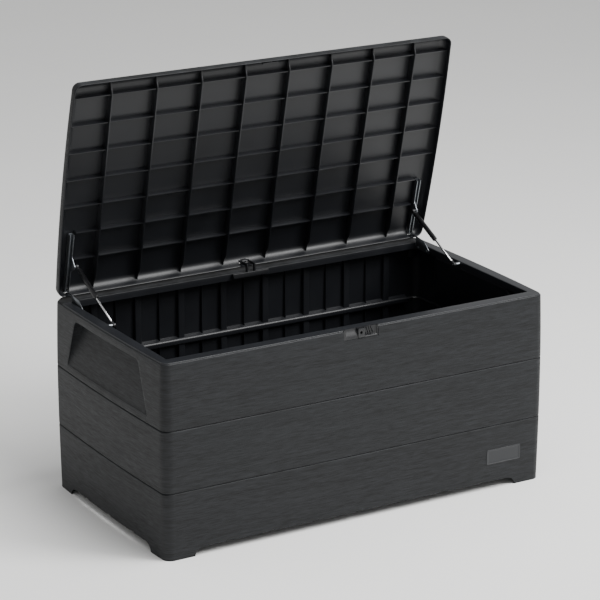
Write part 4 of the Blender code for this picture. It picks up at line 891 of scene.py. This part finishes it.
def turned_solid(name, profile, start, along, steps=48):
    """A solid of revolution: (radius, distance) points carried round the line from start along a
    direction, at cosine and sine of each step's angle."""
    profile = np.asarray(profile)
    along = np.asarray(along) / np.linalg.norm(along)
    first = np.cross(along, (0.3, 0.2, 0.9))
    first /= np.linalg.norm(first)
    second = np.cross(along, first)
    angle = np.linspace(0, 2 * pi, steps, endpoint=False)[:, None]
    round_about = np.cos(angle) * first + np.sin(angle) * second
    points = (np.asarray(start) + profile[:, 1, None, None] * along
              + profile[:, 0, None, None] * round_about[None])
    return grid_mesh(name, points, closed=True)


def pin_profile(reach):
    """A plain pin as far as reach either way, with a small chamfer at each end."""
    half = np.array([(0, reach), (PIN - 0.0005, reach), (PIN, reach - 0.0005)])
    return np.concatenate([half * (1, -1), half[::-1]])


def screw_profile(shank):
    """A pan-head screw: a domed head from its crown out to its rim, then the shank and its point."""
    dome = arc((0.0, -0.0012), 0.0040, pi / 2, 0.30, 6) * (1, 0.62) + (0, 0.0004)
    return np.concatenate([dome, [(0.0040, 0.0), (0.0019, 0.0), (0.0019, -shank), (0.0, -shank - 0.001)]])


for side, word in ((1, "right"), (-1, "left")):
    x = side * PLATE_MIDDLE
    outline = np.concatenate([arc((hy, hz), EYE, -pi / 2, pi / 2, 16), [
        (hy - 0.040, hz - 0.001), (hy - 0.082, hz - 0.006), (hy - 0.112, RIM_TOP - 0.008),
        (hy - 0.114, lip_low), (LIP_Y - 0.003, lip_low), (LIP_Y - 0.003, hz - EYE - 0.0005),
        (hy - 0.002, hz - EYE - 0.0005)]])
    bracket = piece_from(f"{word}_rim_bracket", prism("bracket", outline, x - STEEL / 2, x + STEEL / 2, "x"),
                         (zinc,), "box")
    rounded(bracket, 0.0003, 2)
    finish(f"{word}_body_bracket")
    pin = turned_solid("pin", pin_profile(CHANNEL_HALF + 0.0013), (x, hy, hz), (1, 0, 0))
    pin = piece_from(f"{word}_pin", pin, (zinc,), "box")
    shade(pin)
    finish(f"{word}_hinge_pin")
    screw_z = (lip_low + RIM_TOP - 0.008) / 2
    for i, y in enumerate((hy - 0.100, hy - 0.050)):
        screw = turned_solid("screw", screw_profile(0.0103), (x - side * (STEEL / 2 + 0.0003), y, screw_z),
                             (-side, 0, 0))
        screw = piece_from(f"{word}_rim_screw_{i + 1}", screw, (zinc,), "box")
        shade(screw)
        finish(f"{word}_bracket_screw_{i + 1}")
        spacer = turned_solid("spacer", [(0, 0), (0.0050, 0), (0.0050, 0.0065), (0, 0.0065)],
                              (x + side * (STEEL / 2 + 0.0003), y, screw_z), (side, 0, 0), 32)
        work(walls[word], tinted(spacer, 2), "UNION")
    # the channel: two flanges and a web, the inner flange with an ear for the strut
    spine = np.concatenate([arc((0, 0), EYE, -pi / 2, pi / 2, 16), [
        (-0.016, CHANNEL_RISE - 0.0004), (-CHANNEL_LENGTH, CHANNEL_RISE - 0.0004),
        (-CHANNEL_LENGTH, -CHANNEL_DROP)]])
    ear = np.concatenate([[(STUD_LOCAL[0] - 0.024, -CHANNEL_DROP)],
                          arc(STUD_LOCAL, 0.0080, 1.25 * pi, 1.85 * pi, 10),
                          [(STUD_LOCAL[0] + 0.022, -0.8 * CHANNEL_DROP)]])
    tail = [(-0.03, -0.6 * CHANNEL_DROP)]
    outer_x = side * (PLATE_MIDDLE + CHANNEL_HALF - STEEL / 2)
    inner_x = side * (PLATE_MIDDLE - CHANNEL_HALF + STEEL / 2)
    channel = prism("channel", np.concatenate([spine, tail]), outer_x - STEEL / 2, outer_x + STEEL / 2, "x")
    channel = piece_from(f"{word}_lid_channel", channel, (zinc,), "lid")
    web = block((-CHANNEL_LENGTH + 0.0004, CHANNEL_RISE - STEEL), (-0.018, CHANNEL_RISE))
    work(channel, prism("web", web, x - CHANNEL_HALF + 0.0002, x + CHANNEL_HALF - 0.0002, "x"), "UNION")
    eared = np.concatenate([spine, ear, tail])
    work(channel, prism("flange", eared, inner_x - STEEL / 2, inner_x + STEEL / 2, "x"), "UNION")
    rounded(channel, 0.0004, 2)
    opened(channel.data)
    finish(f"{word}_lid_bracket")
    for i, y in enumerate((-CHANNEL_LENGTH + 0.020, -CHANNEL_LENGTH + 0.085)):
        screw = turned_solid("screw", screw_profile(0.004), (x, y, CHANNEL_RISE - STEEL - 0.0003), (0, 0, -1))
        screw = piece_from(f"{word}_channel_screw_{i + 1}", opened(screw), (zinc,), "lid")
        shade(screw)
        finish(f"{word}_lid_screw_{i + 1}")


# ================================================================ gas struts
# A black painted cylinder hangs from each channel's ear, and its chromed rod runs down to a ball stud
# on the end panel's lip. Moulded sockets clip over both studs.
# Black stove enamel over drawn tube: half gloss, with the faint ripple of sprayed paint.
enamel, shader, place = new_material("black_stove_enamel")
ripple = node(enamel, "TexNoise", {"Scale": 420.0, "Detail": 2.0}, {"Vector": place})
dust = node(enamel, "TexNoise", {"Scale": 45.0, "Detail": 3.0}, {"Vector": place})
dress(enamel, shader, ("#0B0B0C", "#141416", dust.outputs["Fac"]), (0.20, 0.34, dust.outputs["Fac"]),
      (0.12, 0.0003, ripple.outputs["Fac"]), 1.52)

# Hard chrome on a ground rod: bright, with hair-fine grinding marks and a thin film of oil.
chrome, shader, place = new_material("ground_hard_chrome")
rings_map = node(chrome, "Mapping", {"Scale": (60.0, 2200.0, 2200.0)}, {"Vector": place})
ground = node(chrome, "TexNoise", {"Scale": 1.0, "Detail": 2.0}, {"Vector": rings_map.outputs["Vector"]})
film = node(chrome, "TexNoise", {"Scale": 70.0, "Detail": 2.0}, {"Vector": place})
dress(chrome, shader, ("#D2D3D5", "#E2E2E3", film.outputs["Fac"]), (0.06, 0.16, film.outputs["Fac"]),
      (0.06, 0.0001, ground.outputs["Fac"]), None)

STRUT_MIDDLE = 0.587
TUBE = 0.0075
TUBE_INNER = 0.0063
ROD = 0.0030
TUBE_START = 0.015
TUBE_END = 0.141
SOCKET = 0.0065
SOCKET_HALF = 0.0045
STUD = 0.0028
COLLAR = 0.0055
stud_y = hy - 0.278
stud_z = hz - 0.029
turned_y = hy + STUD_LOCAL[0] * cos(OPEN_ANGLE) + STUD_LOCAL[1] * sin(OPEN_ANGLE)
turned_z = hz - STUD_LOCAL[0] * sin(OPEN_ANGLE) + STUD_LOCAL[1] * cos(OPEN_ANGLE)
span = hypot(turned_y - stud_y, turned_z - stud_z)
line = np.array([0.0, turned_y - stud_y, turned_z - stud_z]) / span
for side, word in ((1, "right"), (-1, "left")):
    x = side * STRUT_MIDDLE
    low_end = np.array([x, stud_y, stud_z])
    high_end = np.array([x, turned_y, turned_z])
    rod_end = span - TUBE_END + 0.006
    rod = turned_solid("rod", [(0, 0.0163), (ROD - 0.0003, 0.0163), (ROD, 0.0168), (ROD, rod_end),
                               (TUBE_INNER - 0.0003, rod_end), (TUBE_INNER - 0.0003, rod_end + 0.010),
                               (0, rod_end + 0.010)], low_end, line)
    rod = piece_from(f"{word}_rod", rod, (chrome,), f"{word}_rod")
    shade(rod)
    finish(f"{word}_strut_rod")
    tube = turned_solid("tube", [
        (0, TUBE_START), (TUBE - 0.0022, TUBE_START), (TUBE - 0.0008, TUBE_START + 0.0006),
        (TUBE, TUBE_START + 0.0022), (TUBE, TUBE_END - 0.006), (TUBE - 0.0005, TUBE_END - 0.0055),
        (TUBE - 0.0005, TUBE_END - 0.0045), (TUBE, TUBE_END - 0.004), (TUBE, TUBE_END - 0.0015),
        (TUBE - 0.0012, TUBE_END), (ROD + 0.0003, TUBE_END), (ROD + 0.0003, TUBE_END - 0.004),
        (TUBE_INNER, TUBE_END - 0.004), (TUBE_INNER, TUBE_START + 0.002), (0, TUBE_START + 0.002)],
        high_end, -line)
    tube = piece_from(f"{word}_cylinder", tube, (enamel,), f"{word}_tube")
    shade(tube)
    finish(f"{word}_strut_tube")
    for end, direction, reach, body, node_name in (
            (low_end, line, 0.016, f"{word}_rod", f"{word}_rod_socket"),
            (high_end, -line, TUBE_START - 0.0003, f"{word}_tube", f"{word}_tube_socket")):
        bore = STUD + 0.0003
        cup = turned_solid("cup", [
            (bore, -SOCKET_HALF), (SOCKET - 0.0012, -SOCKET_HALF), (SOCKET, 0.0012 - SOCKET_HALF),
            (SOCKET, SOCKET_HALF - 0.0012), (SOCKET - 0.0012, SOCKET_HALF), (bore, SOCKET_HALF),
            (bore, -SOCKET_HALF)], end, (1, 0, 0))
        socket = piece_from(f"{node_name}_cup", cup, (dark_resin,), body)
        work(socket, turned_solid("neck", [(0, 0.0048), (0.0042, 0.0048), (0.0042, reach - 0.0006),
                                           (0.0036, reach), (0, reach)], end, direction, 32), "UNION")
        shade(socket)
        finish(node_name)
    # ball studs: one on the end's lip, one on the channel's ear
    near = SOCKET_HALF + 0.0015
    far = LIP_X - 0.0003 - STRUT_MIDDLE
    wall_stud = turned_solid("stud", [
        (0, -near), (STUD - 0.0006, -near), (STUD, 0.0006 - near), (STUD, SOCKET_HALF + 0.001),
        (COLLAR - 0.0005, SOCKET_HALF + 0.001), (COLLAR, SOCKET_HALF + 0.0015), (COLLAR, far), (0, far)],
        low_end, (side, 0, 0))
    wall_stud = piece_from(f"{word}_rim_stud", wall_stud, (zinc,), "box")
    shade(wall_stud)
    finish(f"{word}_wall_stud")
    gap = PLATE_MIDDLE - CHANNEL_HALF - 0.0003 - (STRUT_MIDDLE + SOCKET_HALF + 0.0005)
    lid_stud = turned_solid("stud", [
        (0, 0), (STUD, 0), (COLLAR - 0.0004, gap / 2 - 0.0003), (COLLAR, gap / 2), (COLLAR, gap), (0, gap)],
        high_end + (side * (SOCKET_HALF + 0.0005), 0, 0), (side, 0, 0))
    lid_stud = piece_from(f"{word}_channel_stud", lid_stud, (zinc,), "lid")
    shade(lid_stud)
    finish(f"{word}_lid_stud")


# ================================================================ middle hinge
# At the middle of the back rim: a moulded bar on the lip with two ears, and a steel pin through the
# ears and the lid's knuckle.
bar_low, bar_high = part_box("middle_hinge_bar")
middle = np.array([0.0, (bar_low.z + bar_high.z) / 2])
outline = plate_outline(bar_high.x, (bar_high.z - bar_low.z) / 2, 0.003) + middle
bar = piece_from("rear_hinge_bar", prism("bar", outline, bar_low.y, bar_high.y, "y"), (dark_resin,), "box")
rounded(bar, 0.0012)
finish("middle_hinge_bar")
for side, word in ((1, "right"), (-1, "left")):
    low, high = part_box(f"middle_hinge_ear_{word}")
    ear_foot = low.z
    outline = np.concatenate([arc((hy, hz), EYE, -pi / 2, pi / 2, 16), [
        (low.y, hz + EYE), (low.y, ear_foot), (LIP_Y - 0.001, ear_foot), (LIP_Y - 0.001, hz - EYE - 0.0005),
        (hy - 0.002, hz - EYE - 0.0005)]])
    ear = prism("ear", outline, low.x, high.x, "x")
    ear = piece_from(f"rear_hinge_ear_{word}", ear, (dark_resin,), "box")
    hole = arc((hy, hz), PIN + 0.0003, 0, 2 * pi, 32)[:-1]
    work(ear, prism("hole", hole, low.x - 0.01, high.x + 0.01, "x"), "DIFFERENCE")
    rounded(ear, 0.0004, 2)
    finish(f"middle_hinge_ear_{word}")
pin = turned_solid("pin", pin_profile(pin_high.x - 0.0002), HINGE, (1, 0, 0))
pin = piece_from("rear_hinge_pin", pin, (zinc,), "box")
shade(pin)
finish("middle_hinge_pin")
knuckle = np.concatenate([arc((0, 0), EYE, -pi, 0, 16), [(EYE, 0.009), (-EYE, 0.0122)]])
knuckle = piece_from("lid_knuckle", prism("knuckle", knuckle, -0.009, 0.009, "x"), (inner_resin,), "lid")
work(knuckle, prism("hole", arc((0, 0), PIN + 0.0003, 0, 2 * pi, 32)[:-1], -0.02, 0.02, "x"), "DIFFERENCE")
rounded(knuckle, 0.0003, 2)
opened(knuckle.data)
finish("lid_panel")

for wall in walls.values():
    shade(wall)

low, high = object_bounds()
